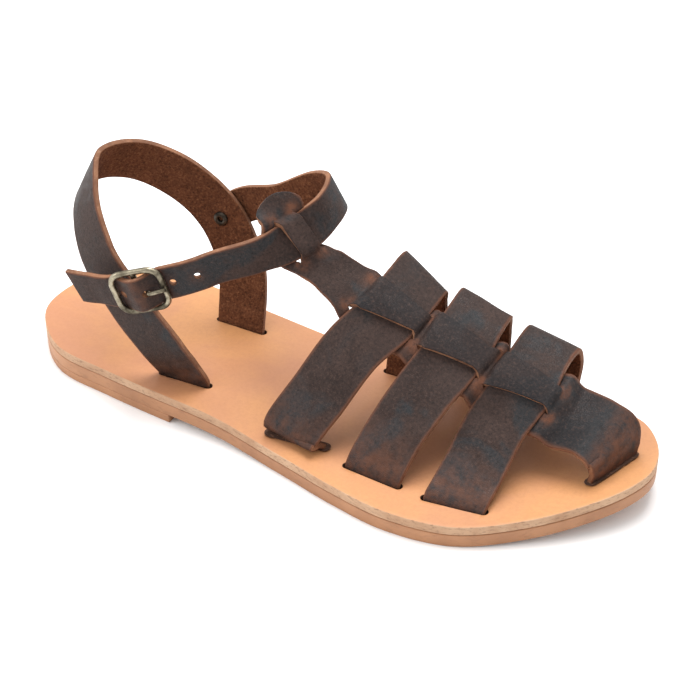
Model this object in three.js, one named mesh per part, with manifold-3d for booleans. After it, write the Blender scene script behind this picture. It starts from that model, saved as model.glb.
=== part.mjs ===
// A right-foot leather sandal: a slotted tongue woven over three cross straps, a heel strap,
// a buckled ankle strap, an insole and outsole of the same outline, and a low heel lift.
// Millimetres. In the foot frame +X runs from heel to toe, +Y to the medial side and +Z up,
// with X = 0 at the back of the heel and Z = 0 on the floor.
import * as THREE from 'three';
import { mergeVertices } from 'three/addons/utils/BufferGeometryUtils.js';
import Module from 'manifold-3d';

const wasm = await Module();
wasm.setup();

// Sole
const soleLength = 255;
const ballWidth = 89;
const insoleThickness = 3.3;
const outsoleThickness = 5;
const liftHeight = 3.4;
const liftLength = 81.5;
const shankLength = 55; // the outsole comes down to the floor over this length
const toeSpring = 8;
const toeSpringLength = 56;
const soleGap = 0.3;

// Straps
const strapThickness = 2.2;
const clearance = 0.3;
const crossStrapWidth = 22;
const heelStrapWidth = 20.5;
const ankleStrapWidth = 14.5;
const buckleStrapWidth = 13.6; // the ankle strap's width from the buckle to its tip
const tipCut = 5.5; // the lower corner of the tip is this much shorter
const instepHeight = 52; // the tongue's neck above the insole
const ankleHeight = 70; // the top of the heel strap above the insole
const strapSpread = 30; // the heel and ankle straps stand this far from the heel's middle line
const heelMiddle = -0.06; // that line, as a share of half the ball width
const slotClearance = 0.75;
const slotLonger = 1.3; // a slot's length beyond each edge of its strap
const slotReach = 0.6; // a strap's reach into its slot, as a share of the insole's thickness

// Tongue
const tongueWidth = 33;
const bandWidth = 18.8; // the strip of the tongue that passes over the straps
const tabBandWidth = 11.5;
const tabWidth = 22;
const bandLift = 2.3;
const slitEase = 3.2; // length in which a strip of the tongue rises or dips
const stripStep = 0.5; // the step from the band to a side strip takes this much of the width

// Buckle and rivet
const buckleLength = 21;
const buckleWidth = 18.9;
const buckleCorner = 3.4;
const buckleWire = 1.9;
const buckleEase = 2; // length beyond each end of the frame in which the strap stays in its plane
const weaveEase = 9; // length in which the ankle strap leaves the frame's plane
const prongReach = 3.3; // from the middle bar to the hole that the prong passes
const lapEnd = 8; // the ankle strap's end beyond the rivet
const lapEase = 1.5; // it bends this far beyond the heel strap's front edge
const prongWire = 1.6;
const holeDiameter = 3;
const holeSpacing = 9.5;
const rivetHeadDiameter = 6;
const rivetStemDiameter = 3;
const rivetHeadThickness = 0.9;

const halfBall = ballWidth / 2;
const finest = 0.02; // details smaller than this are left out of the meshes

// Half widths of the sole at shares of its length, as shares of half the ball width
const outlineRows = [
  { along: 0.008, medial: 0.25, lateral: -0.19 },
  { along: 0.04, medial: 0.55, lateral: -0.46 },
  { along: 0.1, medial: 0.79, lateral: -0.7 },
  { along: 0.2, medial: 0.8, lateral: -0.78 },
  { along: 0.32, medial: 0.7, lateral: -0.83 },
  { along: 0.42, medial: 0.68, lateral: -0.85 },
  { along: 0.52, medial: 0.71, lateral: -0.94 },
  { along: 0.62, medial: 0.79, lateral: -1.06 },
  { along: 0.71, medial: 0.88, lateral: -1.12 },
  { along: 0.8, medial: 0.92, lateral: -1.03 },
  { along: 0.88, medial: 0.93, lateral: -0.74 },
  { along: 0.94, medial: 0.82, lateral: -0.43 },
  { along: 0.98, medial: 0.55, lateral: -0.15 },
  { along: 0.998, medial: 0.27, lateral: 0.08 },
];

// Small helpers for closed meshes and for joining and cutting them
function smooth(value, from, to) {
  return THREE.MathUtils.smoothstep(value, from, to);
}

function closedMesh(positions, triangles) {
  const geometry = new THREE.BufferGeometry();
  geometry.setAttribute('position', new THREE.Float32BufferAttribute(positions, 3));
  geometry.setIndex(triangles);
  const a = new THREE.Vector3();
  const b = new THREE.Vector3();
  const c = new THREE.Vector3();
  let volume = 0;
  for (let i = 0; i < triangles.length; i += 3) {
    a.fromArray(positions, 3 * triangles[i]);
    b.fromArray(positions, 3 * triangles[i + 1]);
    c.fromArray(positions, 3 * triangles[i + 2]);
    volume += a.dot(b.cross(c));
  }
  if (volume < 0) {
    for (let i = 0; i < triangles.length; i += 3) {
      [triangles[i], triangles[i + 1]] = [triangles[i + 1], triangles[i]];
    }
    geometry.setIndex(triangles);
  }
  return geometry;
}

// A slab over a grid of u along and v across: place(u, v, side) gives the outer face for
// side +1 and the inner face for side -1
function slab(alongSteps, acrossSteps, place) {
  const positions = [];
  const triangles = [];
  const columns = acrossSteps + 1;
  const layer = (alongSteps + 1) * columns;
  for (const side of [1, -1]) {
    for (let i = 0; i <= alongSteps; i++) {
      for (let j = 0; j <= acrossSteps; j++) {
        const point = place(i / alongSteps, j / acrossSteps, side);
        positions.push(point.x, point.y, point.z);
      }
    }
  }
  const outer = (i, j) => i * columns + j;
  const inner = (i, j) => layer + i * columns + j;
  const quad = (a, b, c, d) => triangles.push(a, b, c, a, c, d);
  for (let i = 0; i < alongSteps; i++) {
    for (let j = 0; j < acrossSteps; j++) {
      quad(outer(i, j), outer(i + 1, j), outer(i + 1, j + 1), outer(i, j + 1));
      quad(inner(i, j), inner(i, j + 1), inner(i + 1, j + 1), inner(i + 1, j));
    }
    quad(inner(i, 0), inner(i + 1, 0), outer(i + 1, 0), outer(i, 0));
    quad(outer(i, acrossSteps), outer(i + 1, acrossSteps), inner(i + 1, acrossSteps), inner(i, acrossSteps));
  }
  for (let j = 0; j < acrossSteps; j++) {
    quad(outer(0, j), outer(0, j + 1), inner(0, j + 1), inner(0, j));
    quad(inner(alongSteps, j), inner(alongSteps, j + 1), outer(alongSteps, j + 1), outer(alongSteps, j));
  }
  return closedMesh(positions, triangles);
}

function toSolid(geometry) {
  const bare = geometry.clone();
  bare.deleteAttribute('normal');
  bare.deleteAttribute('uv');
  const merged = mergeVertices(bare, 1e-4);
  return new wasm.Manifold(new wasm.Mesh({
    numProp: 3,
    vertProperties: new Float32Array(merged.attributes.position.array),
    triVerts: new Uint32Array(merged.index.array),
  }));
}

function toGeometry(solid) {
  const mesh = solid.simplify(finest).getMesh();
  const geometry = new THREE.BufferGeometry();
  geometry.setAttribute('position', new THREE.BufferAttribute(mesh.vertProperties, 3));
  geometry.setIndex(new THREE.BufferAttribute(mesh.triVerts, 1));
  return geometry;
}

// The sole's outline and its side view
const outlineCurve = new THREE.CatmullRomCurve3(
  [
    ...outlineRows.map((row) => new THREE.Vector3(row.along * soleLength, row.lateral * halfBall, 0)),
    ...outlineRows.toReversed().map((row) => new THREE.Vector3(row.along * soleLength, row.medial * halfBall, 0)),
  ],
  true,
  'centripetal',
);
const outlinePoints = outlineCurve.getPoints(600);
const outlineBox = new THREE.Box3().setFromPoints(outlinePoints);

function outlineAt(x) {
  const crossings = [];
  for (let i = 0; i + 1 < outlinePoints.length; i++) {
    const [a, b] = [outlinePoints[i], outlinePoints[i + 1]];
    if ((a.x - x) * (b.x - x) <= 0 && a.x !== b.x) {
      crossings.push(THREE.MathUtils.lerp(a.y, b.y, (x - a.x) / (b.x - a.x)));
    }
  }
  return { lateral: Math.min(...crossings), medial: Math.max(...crossings) };
}

function outsoleBottom(x) {
  const lifted = liftHeight * (1 - smooth(x, liftLength, liftLength + shankLength));
  const spring = Math.max(0, (x - (soleLength - toeSpringLength)) / toeSpringLength);
  return lifted + toeSpring * spring * spring;
}

const outsoleTop = (x) => outsoleBottom(x) + outsoleThickness;
const insoleBottom = (x) => outsoleTop(x) + soleGap;
const insoleTop = (x) => insoleBottom(x) + insoleThickness;

// A sheet of the sole's outline between two heights, from the back edge to reach. Its stations are
// closer at round ends, and one lies on each change of the side view
function soleSheet(alongSteps, acrossSteps, reach, bottom, top) {
  const [from, to] = [outlineBox.min.x + 0.2, Math.min(reach, outlineBox.max.x - 0.2)];
  const turn = reach < outlineBox.max.x ? Math.PI / 2 : Math.PI;
  const stations = Array.from({ length: alongSteps + 1 }, (_, i) => {
    const share = (1 - Math.cos((turn * i) / alongSteps)) / (1 - Math.cos(turn));
    return THREE.MathUtils.lerp(from, to, share);
  });
  for (const change of [liftLength, liftLength + shankLength, soleLength - toeSpringLength]) {
    if (change < to) {
      const away = stations.map((x) => Math.abs(x - change));
      stations[away.indexOf(Math.min(...away))] = change;
    }
  }
  return slab(alongSteps, acrossSteps, (u, v, side) => {
    const x = stations[Math.round(u * alongSteps)];
    const edge = outlineAt(x);
    const y = THREE.MathUtils.lerp(edge.lateral, edge.medial, v);
    return new THREE.Vector3(x, y, side > 0 ? top(x) : bottom(x));
  });
}

const arcSteps = 500;

// A strap's path: rows give its middle and the direction of its width
class StrapPath {
  constructor(middles, widths) {
    this.middle = new THREE.CatmullRomCurve3(middles, false, 'centripetal');
    this.width = widths;
    this.count = middles.length - 1;
    this.arcs = this.middle.getLengths(arcSteps);
  }

  at(t) {
    const point = this.middle.getPoint(t);
    const tangent = this.middle.getTangent(t);
    const row = Math.min(Math.floor(t * this.count), this.count - 1);
    const across = new THREE.Vector3().lerpVectors(
      this.width[row], this.width[row + 1], smooth(t * this.count, row, row + 1));
    across.addScaledVector(tangent, -across.dot(tangent)).normalize();
    const outward = new THREE.Vector3().crossVectors(across, tangent).normalize();
    return { point, tangent, across, outward };
  }

  // Distance along the path at a share of it, and the share at a distance
  arc(t) {
    const place = t * arcSteps;
    const step = Math.min(Math.floor(place), arcSteps - 1);
    return THREE.MathUtils.lerp(this.arcs[step], this.arcs[step + 1], place - step);
  }

  shareAt(arc) {
    const next = this.arcs.findIndex((value) => value > arc);
    const step = next < 0 ? arcSteps - 1 : Math.max(next - 1, 0);
    return (step + (arc - this.arcs[step]) / (this.arcs[step + 1] - this.arcs[step])) / arcSteps;
  }

  // A strip of the strap between two distances from its middle line
  strip(steps, across, from, to, thickness, lift = () => 0) {
    return slab(steps, across, (u, v, side) => {
      const frame = this.at(u);
      const offset = THREE.MathUtils.lerp(from(u), to(u), v);
      return frame.point
        .addScaledVector(frame.across, offset)
        .addScaledVector(frame.outward, lift(u, offset) + (side * thickness) / 2);
    });
  }
}

function footPoint(row, reach, rise) {
  const x = row.along * soleLength;
  return new THREE.Vector3(x, row.side * reach, insoleTop(x) + row.high * rise);
}

// Below the insole's top a strap goes straight down and ends inside its slot
function slotEnd(point) {
  return new THREE.Vector3(point.x, point.y, insoleTop(point.x) - slotReach * insoleThickness);
}

// Tongue, from the tip of its tab to the toe slot. side is a share of half the ball width, high a
// share of the instep height, wide a share of the tongue's width; fore, out and rise give the
// direction of its width, towards the medial side
const tongueRows = [
  { along: 0.412, side: -0.014, high: 1.43, wide: 0.6, fore: 0.02, out: 1, rise: 0 },
  { along: 0.435, side: -0.005, high: 1.335, wide: 0.66, fore: 0.02, out: 1, rise: 0 },
  { along: 0.458, side: 0.005, high: 1.2, wide: 0.68, fore: 0.02, out: 1, rise: 0 },
  { along: 0.5, side: 0.022, high: 1.01, wide: 0.73, fore: 0.03, out: 1, rise: 0.02 },
  { along: 0.538, side: 0.04, high: 0.92, wide: 0.8, fore: 0.04, out: 1, rise: 0.03 },
  { along: 0.566, side: 0.05, high: 0.85, wide: 0.88, fore: 0.05, out: 1, rise: 0.04 },
  { along: 0.604, side: 0.06, high: 0.79, wide: 0.94, fore: 0.06, out: 1, rise: 0.06 },
  { along: 0.653, side: 0.075, high: 0.665, wide: 0.95, fore: 0.08, out: 0.99, rise: 0.09 },
  { along: 0.704, side: 0.09, high: 0.635, wide: 0.98, fore: 0.1, out: 0.98, rise: 0.12 },
  { along: 0.756, side: 0.1, high: 0.5, wide: 1, fore: 0.13, out: 0.98, rise: 0.15 },
  { along: 0.806, side: 0.095, high: 0.5, wide: 1, fore: 0.15, out: 0.97, rise: 0.17 },
  { along: 0.851, side: 0.097, high: 0.395, wide: 1, fore: 0.17, out: 0.96, rise: 0.19 },
  { along: 0.915, side: 0.1, high: 0.295, wide: 0.92, fore: 0.2, out: 0.94, rise: 0.26 },
  { along: 0.947, side: 0.102, high: 0.2, wide: 0.82, fore: 0.22, out: 0.92, rise: 0.32 },
  { along: 0.954, side: 0.1, high: 0.1, wide: 0.78, fore: 0.3, out: 0.93, rise: 0.2 },
  { along: 0.947, side: 0.097, high: 0, wide: 0.74, fore: 0.36, out: 0.93, rise: 0 },
];
const tabRow = 2;
const instepPoint = (row) => footPoint(row, halfBall, instepHeight);
const widthOf = (row) => new THREE.Vector3(row.fore, row.out, row.rise);
const tongueMiddles = tongueRows.map(instepPoint);
const tonguePath = new StrapPath(
  [...tongueMiddles, slotEnd(tongueMiddles.at(-1))],
  [...tongueRows, tongueRows.at(-1)].map((row) => widthOf(row).negate()),
);
const tongueAt = (row) => tonguePath.at(row / tonguePath.count);

// Cross straps, lateral slot to medial slot, with the columns of the tongue's rows. Each meets
// the tongue at one of its rows, between the strap's own lateral and medial rows
const crossStrapTables = [
  {
    tongueRow: 6,
    lateral: [
      { along: 0.53, side: -0.71, high: 0, fore: 1, out: 0.14, rise: -0.05 },
      { along: 0.533, side: -0.69, high: 0.113, fore: 0.98, out: 0.1, rise: -0.12 },
      { along: 0.551, side: -0.525, high: 0.387, fore: 0.96, out: 0, rise: -0.25 },
      { along: 0.576, side: -0.25, high: 0.637, fore: 0.92, out: -0.08, rise: -0.36 },
    ],
    medial: [
      { along: 0.608, side: 0.4, high: 0.85, fore: 0.93, out: -0.1, rise: -0.33 },
      { along: 0.612, side: 0.61, high: 0.87, fore: 0.95, out: -0.1, rise: -0.28 },
      { along: 0.608, side: 0.7, high: 0.72, fore: 0.97, out: -0.12, rise: -0.2 },
      { along: 0.602, side: 0.62, high: 0.3, fore: 0.98, out: -0.06, rise: -0.1 },
      { along: 0.6, side: 0.52, high: 0, fore: 1, out: 0.05, rise: 0 },
    ],
  },
  {
    tongueRow: 8,
    lateral: [
      { along: 0.659, side: -0.79, high: 0, fore: 1, out: -0.05, rise: -0.02 },
      { along: 0.661, side: -0.755, high: 0.065, fore: 0.99, out: -0.08, rise: -0.08 },
      { along: 0.67, side: -0.55, high: 0.248, fore: 0.97, out: -0.15, rise: -0.12 },
      { along: 0.686, side: -0.265, high: 0.453, fore: 0.96, out: -0.15, rise: -0.22 },
    ],
    medial: [
      { along: 0.705, side: 0.45, high: 0.73, fore: 0.97, out: -0.1, rise: -0.15 },
      { along: 0.708, side: 0.65, high: 0.76, fore: 0.97, out: -0.15, rise: -0.1 },
      { along: 0.708, side: 0.74, high: 0.62, fore: 0.98, out: -0.12, rise: -0.06 },
      { along: 0.705, side: 0.68, high: 0.25, fore: 0.99, out: -0.1, rise: -0.03 },
      { along: 0.702, side: 0.6, high: 0, fore: 1, out: -0.05, rise: 0 },
    ],
  },
  {
    tongueRow: 10,
    lateral: [
      { along: 0.784, side: -0.785, high: 0, fore: 0.98, out: 0.14, rise: 0.02 },
      { along: 0.785, side: -0.73, high: 0.045, fore: 0.98, out: 0.12, rise: 0.02 },
      { along: 0.786, side: -0.47, high: 0.14, fore: 0.98, out: 0.02, rise: -0.05 },
      { along: 0.79, side: -0.155, high: 0.32, fore: 0.98, out: -0.08, rise: -0.12 },
    ],
    medial: [
      { along: 0.803, side: 0.45, high: 0.57, fore: 0.98, out: -0.15, rise: 0 },
      { along: 0.806, side: 0.7, high: 0.6, fore: 0.98, out: -0.2, rise: -0.03 },
      { along: 0.808, side: 0.78, high: 0.48, fore: 0.97, out: -0.24, rise: -0.03 },
      { along: 0.808, side: 0.7, high: 0.2, fore: 0.97, out: -0.24, rise: 0 },
      { along: 0.81, side: 0.65, high: 0, fore: 0.97, out: -0.22, rise: 0 },
    ],
  },
];

const crossStraps = crossStrapTables.map(({ tongueRow, lateral, medial }) => {
  const middles = [...lateral.map(instepPoint), tongueMiddles[tongueRow], ...medial.map(instepPoint)];
  const widths = [...lateral.map(widthOf), tongueAt(tongueRow).tangent, ...medial.map(widthOf)];
  return new StrapPath(
    [slotEnd(middles[0]), ...middles, slotEnd(middles.at(-1))],
    [widths[0], ...widths, widths.at(-1)],
  );
});

// Where each strap passes under the tongue, as a distance along it
const crossings = [
  { arc: tonguePath.arc(tabRow / tonguePath.count), width: ankleStrapWidth },
  ...crossStrapTables.map(({ tongueRow }) => ({
    arc: tonguePath.arc(tongueRow / tonguePath.count),
    width: crossStrapWidth,
  })),
];

// 1 over a strap, 0 away from the straps
function overStrap(t) {
  return Math.max(...crossings.map(({ arc, width }) => {
    const away = Math.abs(tonguePath.arc(t) - arc) - width / 2;
    return 1 - smooth(away, 0, slitEase);
  }));
}

function tongueHalf(t) {
  const place = Math.min(t * tonguePath.count, tongueRows.length - 1.001);
  const row = Math.floor(place);
  const wide = THREE.MathUtils.lerp(tongueRows[row].wide, tongueRows[row + 1].wide, place - row);
  const radius = tabWidth / 2;
  const fromTip = tonguePath.arc(t);
  const round = Math.sqrt(Math.max(radius ** 2 - (radius - fromTip) ** 2, 4));
  return Math.min((wide * tongueWidth) / 2, fromTip < radius ? round : Infinity);
}

function bandHalf(t) {
  const [tab, rear] = crossings;
  const wide = smooth(tonguePath.arc(t), tab.arc + tab.width / 2, rear.arc - rear.width / 2);
  return THREE.MathUtils.lerp(tabBandWidth, bandWidth, wide) / 2;
}

// One wall: its middle band is raised over each strap and its side strips dip below it
function tongueSolid() {
  return toSolid(slab(72, 6, (u, v, side) => {
    const column = Math.round(6 * v) - 3;
    const half = tongueHalf(u);
    const band = Math.min(bandHalf(u), half - 2 * stripStep);
    const offset = [0, band - stripStep, band, half][Math.abs(column)] * Math.sign(column);
    const lift = bandLift * overStrap(u) * (Math.abs(column) < 2 ? 1 : -1);
    const frame = tonguePath.at(u);
    return frame.point
      .addScaledVector(frame.across, offset)
      .addScaledVector(frame.outward, lift + (side * strapThickness) / 2);
  }));
}

// Heel strap, lateral slot to medial slot. side is a share of the strap spread, from the heel's
// middle line, and high is a share of the ankle height
const heelStrapRows = [
  { along: 0.317, side: -0.71, high: 0, fore: 1, out: 0.08, rise: 0.05 },
  { along: 0.293, side: -0.87, high: 0.21, fore: 0.9, out: 0.04, rise: 0.38 },
  { along: 0.243, side: -0.92, high: 0.445, fore: 0.74, out: 0, rise: 0.67 },
  { along: 0.187, side: -0.83, high: 0.67, fore: 0.74, out: -0.1, rise: 0.66 },
  { along: 0.14, side: -0.48, high: 0.88, fore: 0.66, out: -0.12, rise: 0.74 },
  { along: 0.118, side: -0.02, high: 0.97, fore: 0.5, out: -0.1, rise: 0.86 },
  { along: 0.147, side: 0.46, high: 0.945, fore: 0.5, out: -0.02, rise: 0.87 },
  { along: 0.206, side: 0.79, high: 0.81, fore: 0.62, out: 0.1, rise: 0.78 },
  { along: 0.261, side: 0.95, high: 0.59, fore: 0.8, out: 0.16, rise: 0.56 },
  { along: 0.297, side: 0.9, high: 0.3, fore: 0.94, out: 0.16, rise: 0.2 },
  { along: 0.311, side: 0.65, high: 0, fore: 1, out: 0.02, rise: -0.03 },
];

function anklePoint(row) {
  const point = footPoint(row, strapSpread, ankleHeight);
  point.y += heelMiddle * halfBall;
  return point;
}

const heelMiddles = heelStrapRows.map(anklePoint);
const heelPath = new StrapPath(
  [slotEnd(heelMiddles[0]), ...heelMiddles, slotEnd(heelMiddles.at(-1))],
  [heelStrapRows[0], ...heelStrapRows, heelStrapRows.at(-1)].map(widthOf),
);
const rivetSeat = heelPath.at(9 / heelPath.count);

// Ankle strap. Its end lies on the heel strap at the rivet; medial rows lead round the front to
// the tongue's tab, lateral rows from there to the buckle
const ankleMedialRows = [
  { along: 0.364, side: 1.08, high: 0.79, fore: -0.45, out: -0.15, rise: 0.88 },
  { along: 0.426, side: 1.1, high: 0.93, fore: -0.46, out: -0.16, rise: 0.87 },
  { along: 0.466, side: 0.93, high: 1, fore: -0.39, out: -0.19, rise: 0.9 },
  { along: 0.479, side: 0.54, high: 0.985, fore: -0.32, out: -0.27, rise: 0.91 },
];
const ankleLateralRows = [
  { along: 0.426, side: -0.29, high: 0.83, fore: -0.18, out: -0.25, rise: 0.95 },
  { along: 0.373, side: -0.62, high: 0.75, fore: -0.2, out: -0.27, rise: 0.94 },
];
const ankleBuckleRow = { along: 0.278, side: -1.085, high: 0.606, fore: -0.23, out: -0.18, rise: 0.95 };
const ankleTailRows = [
  { along: 0.2, side: -1.18, high: 0.55, fore: -0.22, out: -0.2, rise: 0.95 },
  { along: 0.163, side: -1.2, high: 0.535, fore: -0.2, out: -0.22, rise: 0.95 },
];

const lapOffset = strapThickness + clearance;
const lapPoint = (distance) => rivetSeat.point.clone()
  .addScaledVector(rivetSeat.outward, lapOffset)
  .addScaledVector(rivetSeat.across, distance);
const lapWidth = rivetSeat.tangent.clone().negate();

// The buckle's frame lies in a plane along the ankle strap, ahead of the heel strap's front edge
const buckleCentre = anklePoint(ankleBuckleRow);
const buckleBack = anklePoint(ankleTailRows[0]).sub(anklePoint(ankleLateralRows.at(-1))).normalize();
const buckleOut = new THREE.Vector3().crossVectors(widthOf(ankleBuckleRow), buckleBack).normalize();
const buckleUp = new THREE.Vector3().crossVectors(buckleBack, buckleOut).normalize();
const frameRun = buckleLength - buckleWire;
const besideBuckle = (sign) => buckleCentre.clone().addScaledVector(buckleBack, sign * (frameRun / 2 + buckleEase));

const anklePath = new StrapPath(
  [
    lapPoint(-lapEnd), lapPoint(0), lapPoint(heelStrapWidth / 2 + lapEase),
    ...ankleMedialRows.map(anklePoint),
    tongueMiddles[tabRow],
    ...ankleLateralRows.map(anklePoint),
    besideBuckle(-1), buckleCentre, besideBuckle(1),
    ...ankleTailRows.map(anklePoint),
  ],
  [
    lapWidth, lapWidth, lapWidth,
    ...ankleMedialRows.map(widthOf),
    tongueAt(tabRow).tangent.clone().negate(),
    ...ankleLateralRows.map(widthOf),
    buckleUp, buckleUp, buckleUp,
    ...ankleTailRows.map(widthOf),
  ],
);
const buckleRow = 3 + ankleMedialRows.length + 1 + ankleLateralRows.length + 1;
const buckleArc = anklePath.arc(buckleRow / anklePath.count);

// The ankle strap goes under the frame's two ends and over its middle bar
const weave = strapThickness / 2 + 2 * clearance + buckleWire / 2;
function ankleLift(t) {
  const away = Math.abs(anklePath.arc(t) - buckleArc);
  const end = frameRun / 2;
  return away < end
    ? weave * Math.cos((Math.PI * away) / end)
    : -weave * (1 - smooth(away, end, end + weaveEase));
}

const tailShare = (buckleRow + 1) / anklePath.count;
function ankleHalf(t) {
  const taper = smooth(t * anklePath.count, 3 + ankleMedialRows.length, buckleRow - 1);
  return THREE.MathUtils.lerp(ankleStrapWidth, buckleStrapWidth, taper) / 2;
}

// A peg along a strap's outward direction, to cut its holes
function peg(path, arc, diameter, lift) {
  const frame = path.at(path.shareAt(arc));
  const cylinder = new THREE.CylinderGeometry(diameter / 2, diameter / 2, 6 * strapThickness, 12);
  cylinder.applyQuaternion(new THREE.Quaternion().setFromUnitVectors(new THREE.Vector3(0, 1, 0), frame.outward));
  const middle = frame.point.addScaledVector(frame.outward, lift);
  return toSolid(cylinder.translate(middle.x, middle.y, middle.z));
}

const holeArcs = [-1, 0, 1, 2].map((step) => buckleArc - prongReach - step * holeSpacing);
const rivetArc = anklePath.arc(1 / anklePath.count);

function ankleSolid() {
  const strip = slab(84, 1, (u, v, side) => {
    const t = u - (1 - v) * (tipCut / anklePath.arc(1)) * smooth(u, tailShare, 1);
    const frame = anklePath.at(t);
    return frame.point
      .addScaledVector(frame.across, (2 * v - 1) * ankleHalf(t))
      .addScaledVector(frame.outward, ankleLift(t) + (side * strapThickness) / 2);
  });
  const holes = holeArcs.map((arc) => peg(anklePath, arc, holeDiameter, 0));
  holes.push(peg(anklePath, rivetArc, rivetStemDiameter + 2 * clearance, 0));
  return holes.reduce((whole, hole) => whole.subtract(hole), toSolid(strip));
}

// The straps that cross are one solid, joined where they pass through the tongue's slits
function buildUpper() {
  const half = crossStrapWidth / 2;
  const across = crossStraps.map((path) => toSolid(path.strip(36, 1, () => -half, () => half, strapThickness)));
  const whole = [...across, ankleSolid()].reduce((sum, strap) => sum.add(strap), tongueSolid());
  return toGeometry(whole);
}

function buildHeelStrap() {
  const half = heelStrapWidth / 2;
  const strip = heelPath.strip(60, 1, () => -half, () => half, strapThickness);
  const hole = peg(heelPath, heelPath.arc(9 / heelPath.count), rivetStemDiameter + 2 * clearance, 0);
  return toGeometry(toSolid(strip).subtract(hole));
}

// A slot in the insole for the end of a strap, with round ends
function slotCutter(path, t, width) {
  const [from, to] = t < 0.5 ? [0, 2 * t] : [1, 2 * t - 1];
  const frame = path.at(from);
  const radius = strapThickness / 2 + slotClearance;
  const half = width / 2 + slotLonger - radius;
  const shape = new THREE.Shape();
  shape.absarc(half, 0, radius, -Math.PI / 2, Math.PI / 2, false);
  shape.absarc(-half, 0, radius, Math.PI / 2, (3 * Math.PI) / 2, false);
  const depth = 3 * insoleThickness;
  const cutter = new THREE.ExtrudeGeometry(shape, { depth, bevelEnabled: false, curveSegments: 4 });
  cutter.rotateZ(Math.atan2(frame.across.y, frame.across.x));
  const bottom = insoleBottom(frame.point.x) - insoleThickness;
  const lean = slab(12, 1, (u, v, side) => {
    const place = path.at(THREE.MathUtils.lerp(from, to, u));
    return place.point
      .addScaledVector(place.across, (v - 0.5) * (width + 2 * slotLonger))
      .addScaledVector(place.outward, side * (strapThickness / 2 + clearance));
  });
  return toSolid(cutter.translate(frame.point.x, frame.point.y, bottom)).add(toSolid(lean));
}

function buildInsole() {
  const sheet = soleSheet(44, 2, soleLength, insoleBottom, insoleTop);
  const ends = crossStraps.flatMap((path) => [[path, 1 / path.count, crossStrapWidth],
    [path, 1 - 1 / path.count, crossStrapWidth]]);
  ends.push([heelPath, 1 / heelPath.count, heelStrapWidth], [heelPath, 1 - 1 / heelPath.count, heelStrapWidth]);
  ends.push([tonguePath, 1 - 1 / tonguePath.count, tongueRows.at(-1).wide * tongueWidth]);
  return toGeometry(ends.reduce((whole, end) => whole.subtract(slotCutter(...end)), toSolid(sheet)));
}

// In the buckle's own axes: x towards the tongue, y up across the strap, z outward
const buckleAxes = new THREE.Matrix4().makeBasis(buckleBack.clone().negate(), buckleUp, buckleOut)
  .setPosition(buckleCentre);

function wireAlong(points, diameter, steps) {
  const path = new THREE.CatmullRomCurve3(points, false, 'centripetal');
  const section = new THREE.Shape().absarc(0, 0, diameter / 2, 0, 2 * Math.PI);
  return new THREE.ExtrudeGeometry(section, { steps, extrudePath: path, curveSegments: 4 });
}

function buildBuckleFrame() {
  const halfRun = frameRun / 2;
  const halfRise = (buckleWidth - buckleWire) / 2;
  const outline = [];
  for (const [cx, cy, from] of [[1, 1, 0], [-1, 1, 1], [-1, -1, 2], [1, -1, 3]]) {
    for (let k = 0; k <= 4; k++) {
      const angle = ((from + k / 4) * Math.PI) / 2;
      outline.push(new THREE.Vector3(
        cx * (halfRun - buckleCorner) + buckleCorner * Math.cos(angle),
        cy * (halfRise - buckleCorner) + buckleCorner * Math.sin(angle),
        0,
      ));
    }
  }
  const loop = new THREE.CatmullRomCurve3(outline, true, 'centripetal');
  const ring = toSolid(new THREE.TubeGeometry(loop, 48, buckleWire / 2, 8, true));
  const bar = toSolid(new THREE.CylinderGeometry(buckleWire / 2, buckleWire / 2, 2 * halfRise, 10));
  return toGeometry(ring.add(bar)).applyMatrix4(buckleAxes);
}

function buildBuckleProng() {
  const root = buckleWire / 2 + clearance + prongWire / 2;
  const rest = buckleWire / 2 + clearance + prongWire / 2;
  const points = [
    new THREE.Vector3(root, 0, -0.4 * prongWire),
    new THREE.Vector3(prongReach - 0.2, 0, 0.4 * strapThickness),
    new THREE.Vector3(prongReach + 0.9, 0, 1.25 * strapThickness),
    new THREE.Vector3(frameRun / 2 - 2.2, 0, 1.2 * strapThickness),
    new THREE.Vector3(frameRun / 2, 0, rest),
    new THREE.Vector3(frameRun / 2 + 1.2, 0, rest),
  ];
  return wireAlong(points, prongWire, 18).applyMatrix4(buckleAxes);
}

// The rivet's hollow stem passes through both straps, with a round head on each side
function buildRivet() {
  const reach = lapOffset + strapThickness / 2 + clearance;
  const inner = -(strapThickness / 2 + clearance);
  const profile = [
    [0, inner + 0.4], [0.9, inner + 0.4], [1.1, inner - rivetHeadThickness],
    [rivetHeadDiameter / 2, inner - rivetHeadThickness / 2], [rivetHeadDiameter / 2, inner],
    [rivetStemDiameter / 2, inner], [rivetStemDiameter / 2, reach],
    [rivetHeadDiameter / 2, reach], [rivetHeadDiameter / 2, reach + rivetHeadThickness / 3],
    [rivetHeadDiameter / 4, reach + rivetHeadThickness], [0, reach + rivetHeadThickness],
  ].map(([radius, height]) => new THREE.Vector2(radius, height));
  const turned = new THREE.LatheGeometry(profile, 20);
  turned.applyQuaternion(new THREE.Quaternion()
    .setFromUnitVectors(new THREE.Vector3(0, 1, 0), rivetSeat.outward));
  return toGeometry(toSolid(turned)).translate(...rivetSeat.point.toArray());
}

const strapLeather = new THREE.MeshStandardMaterial({ color: 0x3f322d, roughness: 0.55 });
const insoleLeather = new THREE.MeshStandardMaterial({ color: 0xe0a874, roughness: 0.5 });
const soleLeather = new THREE.MeshStandardMaterial({ color: 0xc08050, roughness: 0.6 });
const agedBrass = new THREE.MeshStandardMaterial({ color: 0x8f7f5c, roughness: 0.4, metalness: 1 });
const darkMetal = new THREE.MeshStandardMaterial({ color: 0x2f2a26, roughness: 0.45, metalness: 1 });

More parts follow.
